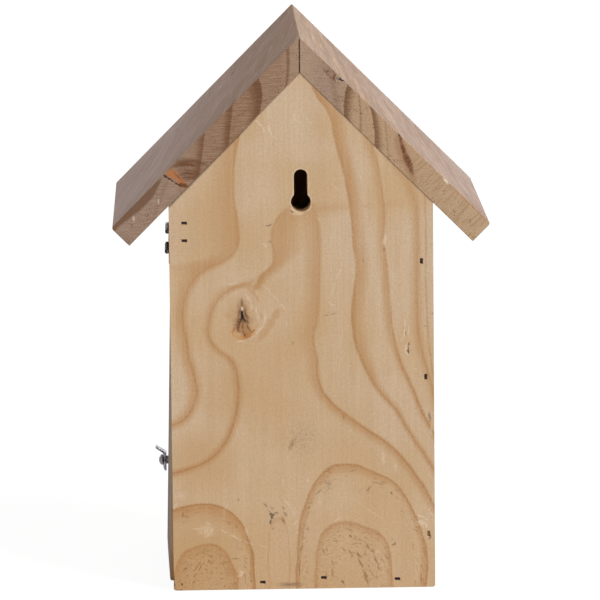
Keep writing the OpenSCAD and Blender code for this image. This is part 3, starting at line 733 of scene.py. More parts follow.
def make_back_pine():
    """The wall face's pine: own growth lines, knot, base arches, scratches, dirt and painted shade
    under the roof.
    """
    material, net, shader, place, _ = new_material("back_pine")
    axes = net.parts(place)
    height = axes["Z"]
    wobble = net.minus(net.noise(net.scaled(place, 0.10, 0.10, 0.035), detail=2.0), 0.5)
    feather = net.minus(net.noise(net.scaled(place, 1.6, 1.6, 0.09), detail=3.0), 0.5)
    shift = net.plus(net.times(wobble, 0.7), net.times(feather, 1.5))
    true_across = net.times(axes["X"], -1.0)
    across = net.plus(true_across, shift)
    along = net.plus(height, net.times(wobble, 0.8))
    spot = net.joined(true_across, height, 0.0)
    wavy = net.joined(across, along, 0.0)

    fibres = net.use(WOOD_FIBRES, Vector=place, Seed=3.0)
    wear = net.use(HANDLING, Vector=place, Seed=11.0, Coverage=0.42)

    late = core = inside = dashes = 0.0
    for points, left, right, darkness, change, (lowest, highest) in BACK_LINES:
        left_now, right_now, darkness_now = (
            net.ease(along, *change, *pair) for pair in (left, right, darkness)
        )
        distance = beside_line(net, across, along, points)
        line = net.use(GROWTH_LINE, Distance=distance, Left_Width=left_now, Right_Width=right_now)
        enter = net.ease(along, lowest, lowest + LINE_FADE)
        leave = net.ease(along, highest - LINE_FADE, highest, 1.0, 0.0)
        shown = net.times(net.times(enter, leave), darkness_now)
        late = net.larger(late, net.times(line["Mask"], shown))
        core = net.larger(core, net.times(line["Core"], shown))
    for row in BACK_ARCHES:
        dark_wood, thin_core, within, short = arch(net, across, along, *row)
        late = net.larger(late, dark_wood)
        core = net.larger(core, thin_core)
        inside = net.larger(inside, within)
        dashes = net.larger(dashes, short)

    warm = net.ease(wear["Tone"], *NOISE_MIDDLE)
    base = net.mix(warm, LIGHT_PINE, WARM_PINE)
    base = net.mix(net.ease(height, 0.0, 90.0, 0.55, 0.0), base, WARM_PINE)
    for centre, wide, high, strength in GOLD_SPOTS:
        base = net.mix(spot_mask(net, wavy, centre, wide, high, strength), base, GOLD_PINE)
    for centre, wide, high, strength in PALE_SPOTS:
        base = net.mix(spot_mask(net, wavy, centre, wide, high, strength), base, LIGHT_PINE)
    base = net.mix(net.ease(fibres["Streaks"], 0.36, 0.64, 0.0, 0.24), base, FIBRE_SHADE)
    mottle = net.noise(net.scaled(place, 1.3, 1.3, 0.9), detail=5.0, roughness=0.85)
    base = net.mix(net.ease(mottle, 0.36, 0.64, 0.0, 0.44), base, FIBRE_SHADE)
    veined = net.times(late, net.ease(fibres["Streaks"], 0.34, 0.62, 0.78, 1.12))
    veined = net.times(veined, net.ease(mottle, 0.36, 0.64, 0.85, 1.1))
    base = net.mix(veined, base, LATE_WOOD)
    core = net.times(core, net.ease(height, 90.0, 160.0, 1.0, 0.4))
    base = net.mix(net.times(core, net.ease(mottle, 0.38, 0.60, 0.12, 0.80)), base, CORE_WOOD)
    cloud = net.ease(net.noise(place, scale=0.12, detail=4.0, roughness=0.6), 0.30, 0.66)
    base = net.mix(net.times(inside, cloud), base, LATE_WOOD)

    ripple = net.noise(place, scale=0.45, detail=2.0, part="Color")
    ripple = net.vector("SUBTRACT", ripple, (0.5, 0.5, 0.5))
    rippled = net.vector("ADD", spot, net.scaled(ripple, 1.8, 1.8, 0.0))
    grit = net.noise(place, scale=1.2, detail=3.0, roughness=0.7)
    broken = net.ease(grit, 0.34, 0.54, 0.35, 1.0)
    brown = net.times(marks(net, rippled, BROWN_STROKES), broken)
    flecks = net.times(inside, net.ease(mottle, 0.50, 0.60))
    flecks = net.larger(flecks, net.times(dashes, broken))
    brown = net.larger(net.times(brown, 0.92), flecks)
    base = net.mix(brown, base, RESIN)

    base = net.mix(net.times(fibres["Dashes"], DASH_SHARE), base, RESIN)
    base = knot_colour(net, base, rippled, broken)

    edge = keyhole_edge(net, true_across, height)
    up = net.minus(height, KEYHOLE_HEIGHT)
    towards = net.plus(net.times(true_across, -0.5), net.times(up, -0.86))
    torn = net.ease(net.math("DIVIDE", towards, KEYHOLE_RADIUS), 0.75, 1.35, 0.0, 1.3)
    chips = net.minus(net.noise(place, scale=1.1, detail=2.0), 0.5)
    ragged = net.minus(net.plus(edge, net.times(chips, 2.4)), torn)
    base = net.mix(net.ease(ragged, 0.25, 0.8, 0.62, 0.0), base, TORN_RIM)

    pale = net.larger(marks(net, rippled, PALE_SCRATCHES), net.times(wear["Scratches"], 0.25))
    pale = net.times(pale, net.ease(fibres["Height"], 0.30, 0.52, 0.5, 1.0))
    pale = net.larger(pale, smudges(net, spot, grit, PALE_SMUDGES))
    base = net.mix(net.times(pale, 0.62), base, PALE_SCRATCH)
    dark = net.times(marks(net, rippled, DARK_MARKS), broken)
    dark = net.larger(dark, smudges(net, spot, grit, DARK_SMUDGES))
    dark = net.larger(net.times(dark, 0.95), net.times(wear["Specks"], 0.18))
    # Painted shade: a thin dark line below the gable's slopes, where the roof boards sit on the
    # panel. It is wider and darker on the door side, and is laid in one colour together with the
    # real dirt marks.
    roof_gap_shade = net.minus(GABLE_PEAK, net.plus(net.math("ABSOLUTE", true_across), height))
    gap_left = net.ease(true_across, -16.0, -30.0)
    gap_wide = net.math("MULTIPLY_ADD", gap_left, 0.6, 0.7)
    gap_shade_strength = net.math("MULTIPLY_ADD", gap_left, 0.35, 0.55)
    roof_gap_shade = net.plus(net.times(roof_gap_shade, HALF_TURN), net.times(feather, 0.8))
    roof_gap_shade = net.ease(roof_gap_shade, 0.0, gap_wide, gap_shade_strength, 0.0)
    base = net.mix(net.larger(dark, roof_gap_shade), base, DIRT_AND_SHADE)

    roughness = net.ease(late, 0.0, 1.0, 0.68, 0.52)
    relief = net.plus(net.times(fibres["Height"], 0.5), net.times(late, 0.5))
    finish_wood(net, shader, base, roughness, BACK_SHEEN, relief, PINE_RELIEF)
    return material


def knot_colour(net, base, place, broken):
    """The small knot: a brown halo, rays of resin with a glowing foot, pale rings, a black slit."""
    side, up, _ = net.parts(net.vector("SUBTRACT", place, (*KNOT, 0.0)))
    round_knot = net.vector("LENGTH", net.joined(side, net.times(up, 0.78), 0.0))
    halo = net.ease(round_knot, 2.0, 9.0, 0.45, 0.0)
    base = net.mix(net.larger(marks(net, place, KNOT_SHADE), halo), base, LATE_WOOD)
    base = net.mix(net.times(marks(net, place, KNOT_GLOW), broken), base, KNOT_ORANGE)
    base = net.mix(marks(net, place, KNOT_STAIN), base, KNOT_BROWN)
    base = net.mix(net.times(marks(net, place, KNOT_RAYS), broken), base, KNOT_BROWN)
    base = net.mix(marks(net, place, KNOT_SLIT), base, KNOT_BLACK)
    return net.mix(marks(net, place, KNOT_PALE), base, PALE_SCRATCH)


# ---------------------------------------------------------------- plain pine boards

END_SHADE = srgb(168, 134, 98)
PLAIN_SHEEN = 0.28


def make_plain_pine(name, length_axis, pith, ring_width, wander, seed):
    """Planed pine with its grain along one axis; its pith is at (across, deep, along), in mm."""
    material, net, shader, place, facing = new_material(name)
    grained = along_z(net, place, length_axis)
    fibres, rings, wear = sawn(net, grained, pith, ring_width, wander, seed, 0.45)
    ends = net.use(END_GRAIN, Vector=grained)
    along = net.parts(along_z(net, facing, length_axis))["Z"]
    end_face = net.ease(net.math("ABSOLUTE", along), *TURNED)

    base = net.mix(net.ease(wear["Tone"], *NOISE_MIDDLE), LIGHT_PINE, WARM_PINE)
    base = net.mix(net.ease(fibres["Streaks"], 0.38, 0.62, 0.0, 0.30), base, FIBRE_SHADE)
    base = net.mix(net.times(end_face, 0.45), base, END_SHADE)
    base = net.mix(net.times(rings, 0.72), base, LATE_WOOD)
    base = net.mix(net.times(net.times(ends["Pores"], end_face), 0.35), base, RESIN)
    base = net.mix(net.times(fibres["Dashes"], DASH_SHARE), base, RESIN)
    base = net.mix(net.times(wear["Scratches"], 0.45), base, PALE_SCRATCH)
    base = net.mix(net.times(wear["Specks"], 0.16), base, DIRT_AND_SHADE)

    roughness = net.ease(rings, 0.0, 1.0, 0.68, 0.54)
    relief = net.plus(net.times(fibres["Height"], 0.5), net.times(rings, 0.4))
    finish_wood(net, shader, base, roughness, PLAIN_SHEEN, relief, PINE_RELIEF)
    return material


def along_z(net, place, length_axis):
    """The same place with the board's length turned to Z."""
    axes = net.parts(place)
    order = {"X": ("Y", "Z", "X"), "Y": ("X", "Z", "Y"), "Z": ("X", "Y", "Z")}[length_axis]
    return net.joined(*(axes[axis] for axis in order))


# ---------------------------------------------------------------- stained boards

STAIN_HAZE = srgb(176, 158, 148)
STAIN_SHEEN = 0.10  # the stain is matte
STAIN_ROUGHNESS = (0.86, 0.72)  # between its streaks and on them
SIDE_RELIEF = 0.12  # mm
ROOF_RELIEF = 0.14


def make_stained_side(name, outward, pith, ring_width, wander, seed):
    """A side board: pine whose outer face, to outward on X, has a thin grey-brown stain."""
    material, net, shader, place, facing = new_material(name)
    fibres, rings, wear = sawn(net, place, pith, ring_width, wander, seed, 0.50)
    faces = net.parts(facing)
    outer = net.ease(net.times(faces["X"], outward), 0.3, 0.8)

    bare = net.mix(net.ease(wear["Tone"], *NOISE_MIDDLE), srgb(200, 166, 130), srgb(184, 146, 108))
    bare = net.mix(net.ease(fibres["Streaks"], 0.38, 0.62, 0.0, 0.4), bare, FIBRE_SHADE)
    bare = net.mix(net.times(rings, 0.6), bare, LATE_WOOD)
    stained = net.mix(net.ease(wear["Tone"], 0.32, 0.68), srgb(168, 147, 132), srgb(150, 128, 112))
    streaks = net.ease(fibres["Streaks"], 0.36, 0.62, 0.0, 0.55)
    stained = net.mix(streaks, stained, srgb(132, 108, 92))
    stained = net.mix(net.times(rings, 0.5), stained, srgb(126, 96, 76))
    stained = net.mix(net.times(wear["Scratches"], 0.6), stained, STAIN_HAZE)
    base = net.mix(outer, bare, stained)
    base = net.mix(net.times(fibres["Dashes"], 0.25), base, RESIN)
    base = net.mix(net.times(wear["Specks"], 0.25), base, DIRT_AND_SHADE)

    roughness = net.ease(fibres["Streaks"], *NOISE_MIDDLE, *STAIN_ROUGHNESS)
    relief = net.plus(net.times(fibres["Height"], 0.6), net.times(rings, 0.4))
    finish_wood(net, shader, base, roughness, STAIN_SHEEN, relief, SIDE_RELIEF)
    return material


# Lines on a roof board's ends, out from the ridge in mm: where one meets the outer face, how much
# further out it meets the inner face, how far its middle bows outward, its dark width inward and
# outward, and its darkness.
DOOR_SIDE_LINES = (
    (5.6, 0.8, -0.6, 1.2, 1.4, 0.65), (19.9, -0.8, -1.6, 0.7, 8, 0.9),
    (31.8, 1.6, 0, 0.8, 4.5, 0.8), (44.8, 3, -0.4, 0.7, 5, 0.75), (60, 10, 0, 2.5, 3, 0.25),
)
FIXED_SIDE_LINES = (
    (14, 4, 0, 3, 3, 0.3), (22.8, -2, -0.8, 0.5, 4.6, 0.85), (27.4, 0.4, 0.4, 0.4, 1.2, 0.45),
    (33, 1.6, 0.8, 0.6, 4.4, 0.8), (39.6, 1.2, 0, 0.6, 1.2, 0.25),
)
DOOR_SIDE_ENDS = tones(
    (0.00, 164, 135, 110), (0.10, 150, 120, 98), (0.30, 143, 107, 80), (0.50, 144, 111, 88),
    (0.70, 151, 125, 108), (1.00, 148, 123, 108),
)
FIXED_SIDE_ENDS = tones(
    (0.00, 174, 146, 123), (0.14, 162, 136, 118), (0.22, 168, 142, 119), (0.27, 183, 152, 118),
    (0.55, 190, 156, 122), (1.00, 198, 168, 134),
)
DOOR_SIDE_TOP = tones(
    (0.00, 160, 130, 108), (0.30, 158, 130, 110), (0.70, 168, 143, 128), (1.00, 182, 160, 152),
)
FIXED_SIDE_TOP = tones(
    (0.00, 186, 159, 132), (0.22, 181, 153, 129), (0.45, 181, 153, 134), (1.00, 183, 158, 145),
)
DOOR_TOP_TINT = (
    (0.0, (0.94, 0.82, 0.74, 1)), (0.55, (0.94, 0.83, 0.77, 1)), (1.0, (1, 0.95, 0.94, 1)),
)
FIXED_TOP_TINT = (
    (0.0, (0.99, 0.97, 0.97, 1)), (0.5, (1, 0.98, 0.94, 1)), (1.0, (1, 1, 1, 1)),
)
ROOF_REACH = 88.5  # mm across from the ridge to the eave's tip
ROOF_STREAK = srgb(132, 106, 90)
ROOF_SMEAR = srgb(150, 135, 122)
ROOF_SCRATCH = srgb(208, 192, 182)
BACK_FACE = 77.0  # mm, where the near ends of the roof boards are
END_LINE = srgb(110, 73, 48)
RAY_LIGHT = srgb(196, 172, 148)

# Marks on the boards' ends, as above: their points are along the slope and deep into the board.
DOOR_END_STRIPES = (
    (4.2, 0.95, 83.5, 1, 74.5, 10.5), (3.2, 0.95, 86, 6, 78.5, 11.5),
)
DOOR_END_RESIN = (
    (2.7, 1, 88.2, -0.5, 87, 6), (2.3, 1, 87.2, 4.5, 87.6, 11.8),
)
DOOR_END_DARK = (
    (1.3, 0.85, 88.2, 8.5, 86.8, 12), (0.5, 0.5, 86.4, 2, 86.6, 8.5),
)
DOOR_END_CRACK = (
    (0.6, 1, 90.9, -0.8, 90.3, 2.2), (0.55, 0.95, 90.3, 1.8, 89.7, 6),
    (0.5, 0.9, 89.7, 5.6, 88.5, 11),
)
DOOR_END_NICKS = (
    (0.6, 0.5, 100.1, 5.9, 102.4, 8.2), (0.8, 0.6, 114.5, 3.6, 115.9, 5.2),
    (0.6, 0.3, 97.5, 1.8, 100.7, 1.2),
)
FIXED_END_SPOTS = (
    (3.4, 1, 18.5, 1, 27, 2.2),
)
FIXED_END_SHADE = (
    (2.6, 0.5, 68, 2, 88, 12), (3.4, 0.5, 66, 1.5, 78, 8),
)
FIXED_END_STREAK = (
    (1, 0.9, 64.9, -0.6, 70, 2.9), (1.35, 1, 69, 2.4, 75.5, 5.6), (2, 1, 73.5, 4.8, 81, 7.6),
    (1.3, 0.8, 79, 7, 83, 9),
)
FIXED_END_CRACK = (
    (0.6, 1, 25.8, 1.9, 30.4, -0.3), (0.6, 0.9, 64.6, -0.4, 66.2, 0.6),
)
FIXED_END_NICKS = (
    (0.9, 0.9, 95.4, 0.3, 98, 0.6),
)


def make_roof_pine(name, side, lines, end_tones, top_tones, top_tint, sweep, seed, extra):
    """A roof board, its grain along Y: the growth lines on its ends run on along its top."""
    material, net, shader, place, facing = new_material(name)
    axes = net.parts(place)
    out = net.times(axes["X"], side)
    fall = net.minus(RIDGE_HEIGHT, axes["Z"])
    deep = net.times(net.minus(fall, out), HALF_TURN)
    slope = net.times(net.plus(fall, out), HALF_TURN)
    far = net.minus(BACK_FACE, axes["Y"])
    swept = net.plus(slope, net.times(net.ease(slope, 20.0, 125.0, *sweep), far))
    grained = net.joined(swept, deep, axes["Y"])
    fibres = net.use(WOOD_FIBRES, Vector=grained, Seed=seed)
    wear = net.use(HANDLING, Vector=grained, Seed=seed, Coverage=0.58)
    level = net.joined(out, fall, 0.0)
    ends = net.use(END_GRAIN, Vector=level)
    end_face = net.ease(net.math("ABSOLUTE", net.parts(facing)["Y"]), *TURNED)

    drift = net.minus(net.noise(net.scaled(grained, 0.02, 0.02, 0.012), detail=1.5), 0.5)
    drift = net.times(drift, net.ease(end_face, 0.0, 1.0, 14.0, 2.0))
    feather = net.minus(net.noise(net.scaled(grained, 1.2, 1.2, 0.05), detail=3.0), 0.5)
    swept_out = net.plus(out, net.times(net.minus(swept, slope), HALF_TURN))
    wavered = net.plus(swept_out, net.plus(drift, net.times(feather, 1.4)))
    through = net.math("MINIMUM", net.larger(net.math("DIVIDE", deep, BOARD_THICKNESS), 0.0), 1.0)
    bow = net.times(net.times(through, net.minus(1.0, through)), 4.0)
    bands = []
    for start, lean, bulge, inward, outward, darkness in lines:
        line = net.plus(net.times(through, lean), net.times(bow, bulge))
        distance = net.minus(net.minus(wavered, start), line)
        line = net.use(GROWTH_LINE, Distance=distance, Left_Width=inward, Right_Width=outward)
        bands.append(net.times(line["Mask"], darkness))
    late = net.most(bands)

    share = net.math("DIVIDE", wavered, ROOF_REACH)
    end_colour = net.ramp(share, end_tones)
    end_colour = net.mix(net.ease(ends["Rays"], 0.36, 0.64, 0.0, 0.32), end_colour, RAY_LIGHT)
    speckle = net.noise(level, scale=1.6, detail=4.0, roughness=0.8)
    end_colour = net.mix(net.ease(speckle, 0.40, 0.66, 0.0, 0.40), end_colour, END_LINE)
    end_colour = net.mix(net.times(ends["Pores"], 0.62), end_colour, END_LINE)
    combed = net.times(late, net.ease(ends["Rays"], 0.40, 0.60, 1.08, 0.84))
    end_colour = net.mix(combed, end_colour, END_LINE)
    end_colour = extra(net, end_colour, out, fall, slope, deep, feather)

    top_colour = net.ramp(share, top_tones)
    smear = net.noise(net.scaled(grained, 0.16, 0.16, 0.012), detail=3.0, roughness=0.6)
    top_colour = net.mix(net.ease(smear, 0.44, 0.66, 0.0, 0.60), top_colour, ROOF_SMEAR)
    streaks = net.ease(fibres["Streaks"], 0.38, 0.60, 0.0, 0.60)
    top_colour = net.mix(streaks, top_colour, ROOF_STREAK)
    scuffs = net.noise(net.scaled(grained, 0.75, 0.75, 0.022), detail=4.0, roughness=0.7)
    top_colour = net.mix(net.ease(scuffs, 0.52, 0.68, 0.0, 0.68), top_colour, ROOF_STREAK)
    top_colour = net.mix(net.ease(scuffs, 0.46, 0.32, 0.0, 0.66), top_colour, ROOF_SCRATCH)
    top_colour = net.mix(net.times(late, 0.35), top_colour, ROOF_STREAK)
    top_colour = net.mix(net.ease(wear["Tone"], 0.40, 0.70, 0.0, 0.30), top_colour, STAIN_HAZE)
    top_colour = net.mix(net.times(wear["Scratches"], 0.65), top_colour, ROOF_SCRATCH)
    top_colour = net.mix(1.0, top_colour, net.ramp(share, top_tint), "MULTIPLY")

    base = net.mix(end_face, top_colour, end_colour)
    base = net.mix(net.times(fibres["Dashes"], DASH_SHARE), base, RESIN)
    base = net.mix(net.times(wear["Specks"], 0.22), base, DIRT_AND_SHADE)
    mitre = net.ease(net.plus(out, net.times(feather, 0.3)), 0.15, 0.5, 0.9, 0.0)
    mitre = net.times(mitre, net.ease(deep, 0.0, 1.5))
    base = net.mix(mitre, base, srgb(58, 42, 34))
    roughness = net.ease(fibres["Streaks"], *NOISE_MIDDLE, *STAIN_ROUGHNESS)
    relief = net.times(fibres["Height"], 0.6)
    relief = net.minus(relief, net.times(net.times(ends["Pores"], end_face), 0.4))
    finish_wood(net, shader, base, roughness, STAIN_SHEEN, relief, ROOF_RELIEF)
    return material


def door_side_end(net, colour, out, fall, slope, deep, feather):
    """The door side's roof end: stripes, an orange resin streak, a crack and a dark top edge."""
    shake = net.times(feather, 1.6)
    spot = net.joined(net.plus(slope, shake), net.plus(deep, shake), 0.0)
    droop = net.times(net.math("POWER", net.minus(out, 53.0), 2.0), 0.03)
    level = net.joined(net.times(out, 0.10), net.minus(net.plus(fall, shake), droop), 0.0)
    stripes = net.noise(level, scale=0.62, detail=1.0)
    stripes = net.ease(stripes, 0.42, 0.60, 0.25, 1.0)
    ringed = marks(net, spot, DOOR_END_STRIPES)
    colour = net.mix(net.times(ringed, stripes), colour, srgb(108, 72, 48))
    veins = net.ease(net.noise(net.scaled(spot, 1.5, 0.2, 1.0), detail=2.0), 0.40, 0.60, 0.55, 1.0)
    resin = marks(net, spot, DOOR_END_RESIN)
    colour = net.mix(net.times(resin, veins), colour, srgb(178, 112, 66))
    colour = net.mix(marks(net, spot, DOOR_END_DARK), colour, srgb(96, 58, 36))
    colour = net.mix(marks(net, spot, DOOR_END_CRACK), colour, srgb(50, 34, 30))
    colour = net.mix(marks(net, spot, DOOR_END_NICKS), colour, srgb(206, 190, 172))
    thickening = net.ease(slope, 90.0, 104.0, 0.6, 3.8)
    skin_depth = net.plus(thickening, net.ease(slope, 108.0, 124.0, 0.0, -1.8))
    skin = net.minus(net.plus(deep, shake), skin_depth)
    skin = net.times(net.ease(skin, -0.6, 0.9, 0.85, 0.0), net.ease(slope, 91.0, 95.0))
    return net.mix(skin, colour, srgb(112, 82, 60))


def fixed_side_end(net, colour, out, fall, slope, deep, feather):
    """The fixed side's roof end: a dark streak, a blue-black crack, brown spots, comb lines."""
    shake = net.times(feather, 1.4)
    spot = net.joined(net.plus(slope, shake), net.plus(deep, shake), 0.0)
    comb = net.noise(net.scaled(net.joined(slope, deep, 0.0), 1.1, 0.10, 1.0), detail=3.0)
    comb = net.times(net.ease(comb, 0.44, 0.60, 0.0, 0.35), net.ease(out, 46.0, 54.0))
    colour = net.mix(comb, colour, srgb(146, 112, 78))
    colour = net.mix(marks(net, spot, FIXED_END_SHADE), colour, srgb(150, 110, 74))
    comb_edge = net.noise(net.scaled(spot, 2.2, 0.25, 1.0), detail=1.0)
    comb_edge = net.ease(comb_edge, 0.36, 0.52, 0.55, 1.0)
    streak = net.times(marks(net, spot, FIXED_END_STREAK), comb_edge)
    colour = net.mix(streak, colour, srgb(112, 68, 46))
    colour = net.mix(marks(net, spot, FIXED_END_CRACK), colour, srgb(44, 44, 54))
    spots = net.noise(spot, scale=0.5, detail=2.0)
    near = marks(net, spot, FIXED_END_SPOTS)
    colour = net.mix(net.times(net.ease(spots, 0.52, 0.62), near), colour, srgb(120, 82, 62))
    colour = net.mix(marks(net, spot, FIXED_END_NICKS), colour, srgb(226, 208, 186))
    skin = net.ease(net.plus(deep, shake), 0.3, 0.9, 0.7, 0.0)
    skin = net.times(skin, net.ease(slope, 96.0, 104.0))
    return net.mix(skin, colour, srgb(168, 120, 76))


# ---------------------------------------------------------------- metals

# Clean, dull and grimy colour, roughness where clean, metallic, share under grime.
STEELS = {
    "hinge_steel": (srgb(112, 106, 110), srgb(78, 70, 68), srgb(54, 41, 32), 0.34, 1.0, 0.56),
    "catch_steel": (srgb(160, 156, 166), srgb(134, 130, 136), srgb(66, 54, 44), 0.34, 1.0, 0.46),
    "dark_steel": (srgb(58, 52, 50), srgb(40, 34, 32), srgb(46, 32, 24), 0.5, 0.7, 0.5),
}
FILLED_BELOW = 60.0  # mm above the base, and over how far up and down it fades
FILLED_FADE = 2.0


def make_steel(name, clean, dull, grime, bare_rough, metallic, grime_cover):
    """Steel: patches of duller plating, grime over a share of it, and fine brushed lines."""
    material, net, shader, place, _ = new_material(name)
    patch = net.noise(place, scale=0.9, detail=3.0, roughness=0.6)
    fine = net.noise(net.scaled(place, 1.4, 1.4, 9.0), detail=2.0)
    stain = net.noise(place, scale=0.55, detail=4.0, roughness=0.7)
    tone = net.mix(net.ease(patch, *NOISE_MIDDLE), clean, dull)
    dirty = net.ease(stain, 1.0 - grime_cover, 1.1 - grime_cover)
    tone = net.mix(net.times(dirty, 0.8), tone, grime)
    net.feed(shader.inputs["Base Color"], tone)
    net.feed(shader.inputs["Metallic"], net.ease(dirty, 0.0, 1.0, metallic, metallic * 0.4))
    rough = net.ease(patch, 0.3, 0.7, bare_rough, bare_rough + 0.16)
    net.feed(shader.inputs["Roughness"], net.plus(rough, net.times(dirty, 0.2)))
    raise_surface(net, shader, net.plus(net.times(fine, 0.4), patch), 0.03)
    return material


def make_part_filled():
    """The brads of the fixed side: dark steel, and wood filler over the lowest one."""
    material, net, shader, place, _ = new_material("part_filled_brads")
    height = net.parts(place)["Z"]
    filled = net.ease(height, FILLED_BELOW - FILLED_FADE, FILLED_BELOW + FILLED_FADE, 1.0, 0.0)
    crumb = net.noise(place, scale=2.2, detail=3.0)
    filler = net.mix(net.ease(crumb, *NOISE_MIDDLE), srgb(176, 146, 112), srgb(132, 106, 80))
    net.feed(shader.inputs["Base Color"], net.mix(filled, srgb(50, 44, 42), filler))
    net.feed(shader.inputs["Metallic"], net.ease(filled, 0.0, 1.0, 0.7, 0.0))
    net.feed(shader.inputs["Roughness"], net.ease(filled, 0.0, 1.0, 0.5, 0.9))
    raise_surface(net, shader, crumb, 0.05)
    return material


# ---------------------------------------------------------------- shapes

JOIN_GAP = 0.002  # mm, corners nearer than this are one
FLAT_ANGLE = 0.8  # degrees, faces that turn less than this are one
SHARP_ANGLE = 32  # edges that turn more than this are eased
DOOR_SHARP_ANGLE = 40


def rounded(piece, name, radius, segments, sharp_angle):
    """Rounds a piece's sharp edges by a radius in mm, and keeps its flat faces shaded flat."""
    edge = piece.modifiers.new(name, "BEVEL")
    edge.width = radius * MM
    edge.segments = segments
    edge.limit_method = "ANGLE"
    edge.angle_limit = math.radians(sharp_angle)
    piece.modifiers.new("flat_shading", "WEIGHTED_NORMAL").keep_sharp = True
    return edge


def dress(node, material, ease_radius=None):
    """Gives a CAD node its finish, and eased edges where it has a radius for them, in mm."""
    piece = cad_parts[node]
    piece.data.materials.clear()
    piece.data.materials.append(material)
    if ease_radius:
        piece.modifiers.new("joined_faces", "WELD").merge_threshold = JOIN_GAP * MM
        flat = piece.modifiers.new("whole_faces", "DECIMATE")
        flat.decimate_type = "DISSOLVE"
        flat.angle_limit = math.radians(FLAT_ANGLE)
        rounded(piece, "eased_edges", ease_radius, 3, SHARP_ANGLE).use_clamp_overlap = False


DOOR_ROWS = 24
DOOR_COLUMNS = 6
DOOR_EASE = 0.9  # mm, the radius of the door's worn edges
# At the front and at the rear: the height in mm below which the board leans out, and how far out
# for each mm further down.
DOOR_CREASE = (145.0, 66.0)
DOOR_LEAN = (0.0245, 0.030)
DOOR_BEND = 9.0  # mm, how softly the lean begins


def door_bulge(across_share, height):
    """How far the sprung door stands out, in mm; across_share is 0 at the front, 1 at the rear."""
    crease, lean = (
        front + (rear - front) * across_share for front, rear in (DOOR_CREASE, DOOR_LEAN)
    )
    below = crease - height
    return lean * (below + math.hypot(below, DOOR_BEND)) / 2


def make_door(material):
    """The door board in place of the CAD door, cut into rows and columns so that it can spring."""
    lowest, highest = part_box("door")
    size = highest - lowest
    shape = bmesh.new()
    bmesh.ops.create_cube(shape, size=1.0)
    for corner in shape.verts:
        corner.co = Vector(lowest[i] + (corner.co[i] + 0.5) * size[i] for i in range(3))
    for axis, count in ((1, DOOR_COLUMNS), (2, DOOR_ROWS)):
        for step in range(1, count):
            spot = lowest.copy()
            spot[axis] += size[axis] * step / count
            across = Vector((0, axis == 1, axis == 2))
            whole = shape.verts[:] + shape.edges[:] + shape.faces[:]
            bmesh.ops.bisect_plane(shape, geom=whole, plane_co=spot, plane_no=across)
    for corner in shape.verts:
        across_share = (corner.co.y - lowest.y) / size.y
        corner.co.x += door_bulge(across_share, corner.co.z / MM) * MM
    mesh = bpy.data.meshes.new("door_board")
    shape.to_mesh(mesh)
    shape.free()
    mesh.shade_smooth()
    mesh.materials.append(material)
    door = bpy.data.objects.new("door_board", mesh)
    bpy.context.scene.collection.objects.link(door)
    rounded(door, "worn_edges", DOOR_EASE, 4, DOOR_SHARP_ANGLE)
    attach(door, "door")
    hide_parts("door")


# ---------------------------------------------------------------- stage

def make_camera():
    """The photograph's view: from behind and a little above, with a long lens."""
    data = bpy.data.cameras.new("photo_camera")
    data.lens = CAMERA_LENS
    data.sensor_width = CAMERA_SENSOR
    data.clip_start = CAMERA_NEAR
    data.clip_end = CAMERA_FAR
    camera = bpy.data.objects.new("photo_camera", data)
    turn = Matrix.Rotation(math.radians(CAMERA_HEADING), 4, "Z")
    turn = turn @ Matrix.Rotation(math.radians(CAMERA_TILT), 4, "X")
    turn = turn @ Matrix.Rotation(math.radians(CAMERA_ROLL), 4, "Z")
    camera.matrix_world = Matrix.Translation(CAMERA_PLACE) @ turn
    bpy.context.scene.collection.objects.link(camera)
    bpy.context.scene.camera = camera


def make_lamp(name, strength, source, softness):
    """A soft distant lamp; strength 1 lights a surface that faces it to its written colour."""
    data = bpy.data.lights.new(name, "SUN")
    data.energy = strength * math.pi
    data.angle = math.radians(softness)
    lamp = bpy.data.objects.new(name, data)
    lamp.rotation_mode = "QUATERNION"
    lamp.rotation_quaternion = Vector(source).to_track_quat("Z", "Y")
    bpy.context.scene.collection.objects.link(lamp)


def seen_directly(net):
    """1 where a ray comes from the camera, or from it by way of gloss or glass."""
    path = net.node("LightPath").outputs
    return net.most([path["Is Camera Ray"], path["Is Glossy Ray"], path["Is Transmission Ray"]])


def make_world():
    """An even pale sky that lights the box and shows as white."""
    world = bpy.data.worlds.new("studio_sky")
    world.use_nodes = True
    net = Net(world.node_tree)
    sky = world.node_tree.nodes["Background"]
    sky.inputs["Color"].default_value = WHITE
    net.feed(sky.inputs["Strength"], net.ease(seen_directly(net), 0.0, 1.0, SKY_LIGHT, 1.0))
    bpy.context.scene.world = world


def make_floor():
    """A pale floor that shows white where it is lit and keeps a soft shadow."""
    mesh = bpy.data.meshes.new("studio_floor")
    sides = ((-1, -1), (1, -1), (1, 1), (-1, 1))
    corners = [(x * FLOOR_REACH, y * FLOOR_REACH, -FLOOR_DROP) for x, y in sides]
    mesh.from_pydata(corners, [], [(0, 1, 2, 3)])
    floor = bpy.data.objects.new("studio_floor", mesh)
    bpy.context.scene.collection.objects.link(floor)
    material = bpy.data.materials.new("floor_paint")
    material.use_nodes = True
    net = Net(material.node_tree)
    shader = material.node_tree.nodes["Principled BSDF"]
    seen = seen_directly(net)
    net.feed(shader.inputs["Base Color"], net.mix(seen, grey(FLOOR_COLOUR), grey(FLOOR_SEEN)))
    net.feed(shader.inputs["Emission Color"], net.mix(seen, BLACK, grey(FLOOR_GLOW)))
    shader.inputs["Emission Strength"].default_value = 1.0
    shader.inputs["Roughness"].default_value = 1.0
    shader.inputs["Specular IOR Level"].default_value = 0.0
    mesh.materials.append(material)


# ---------------------------------------------------------------- the nest box

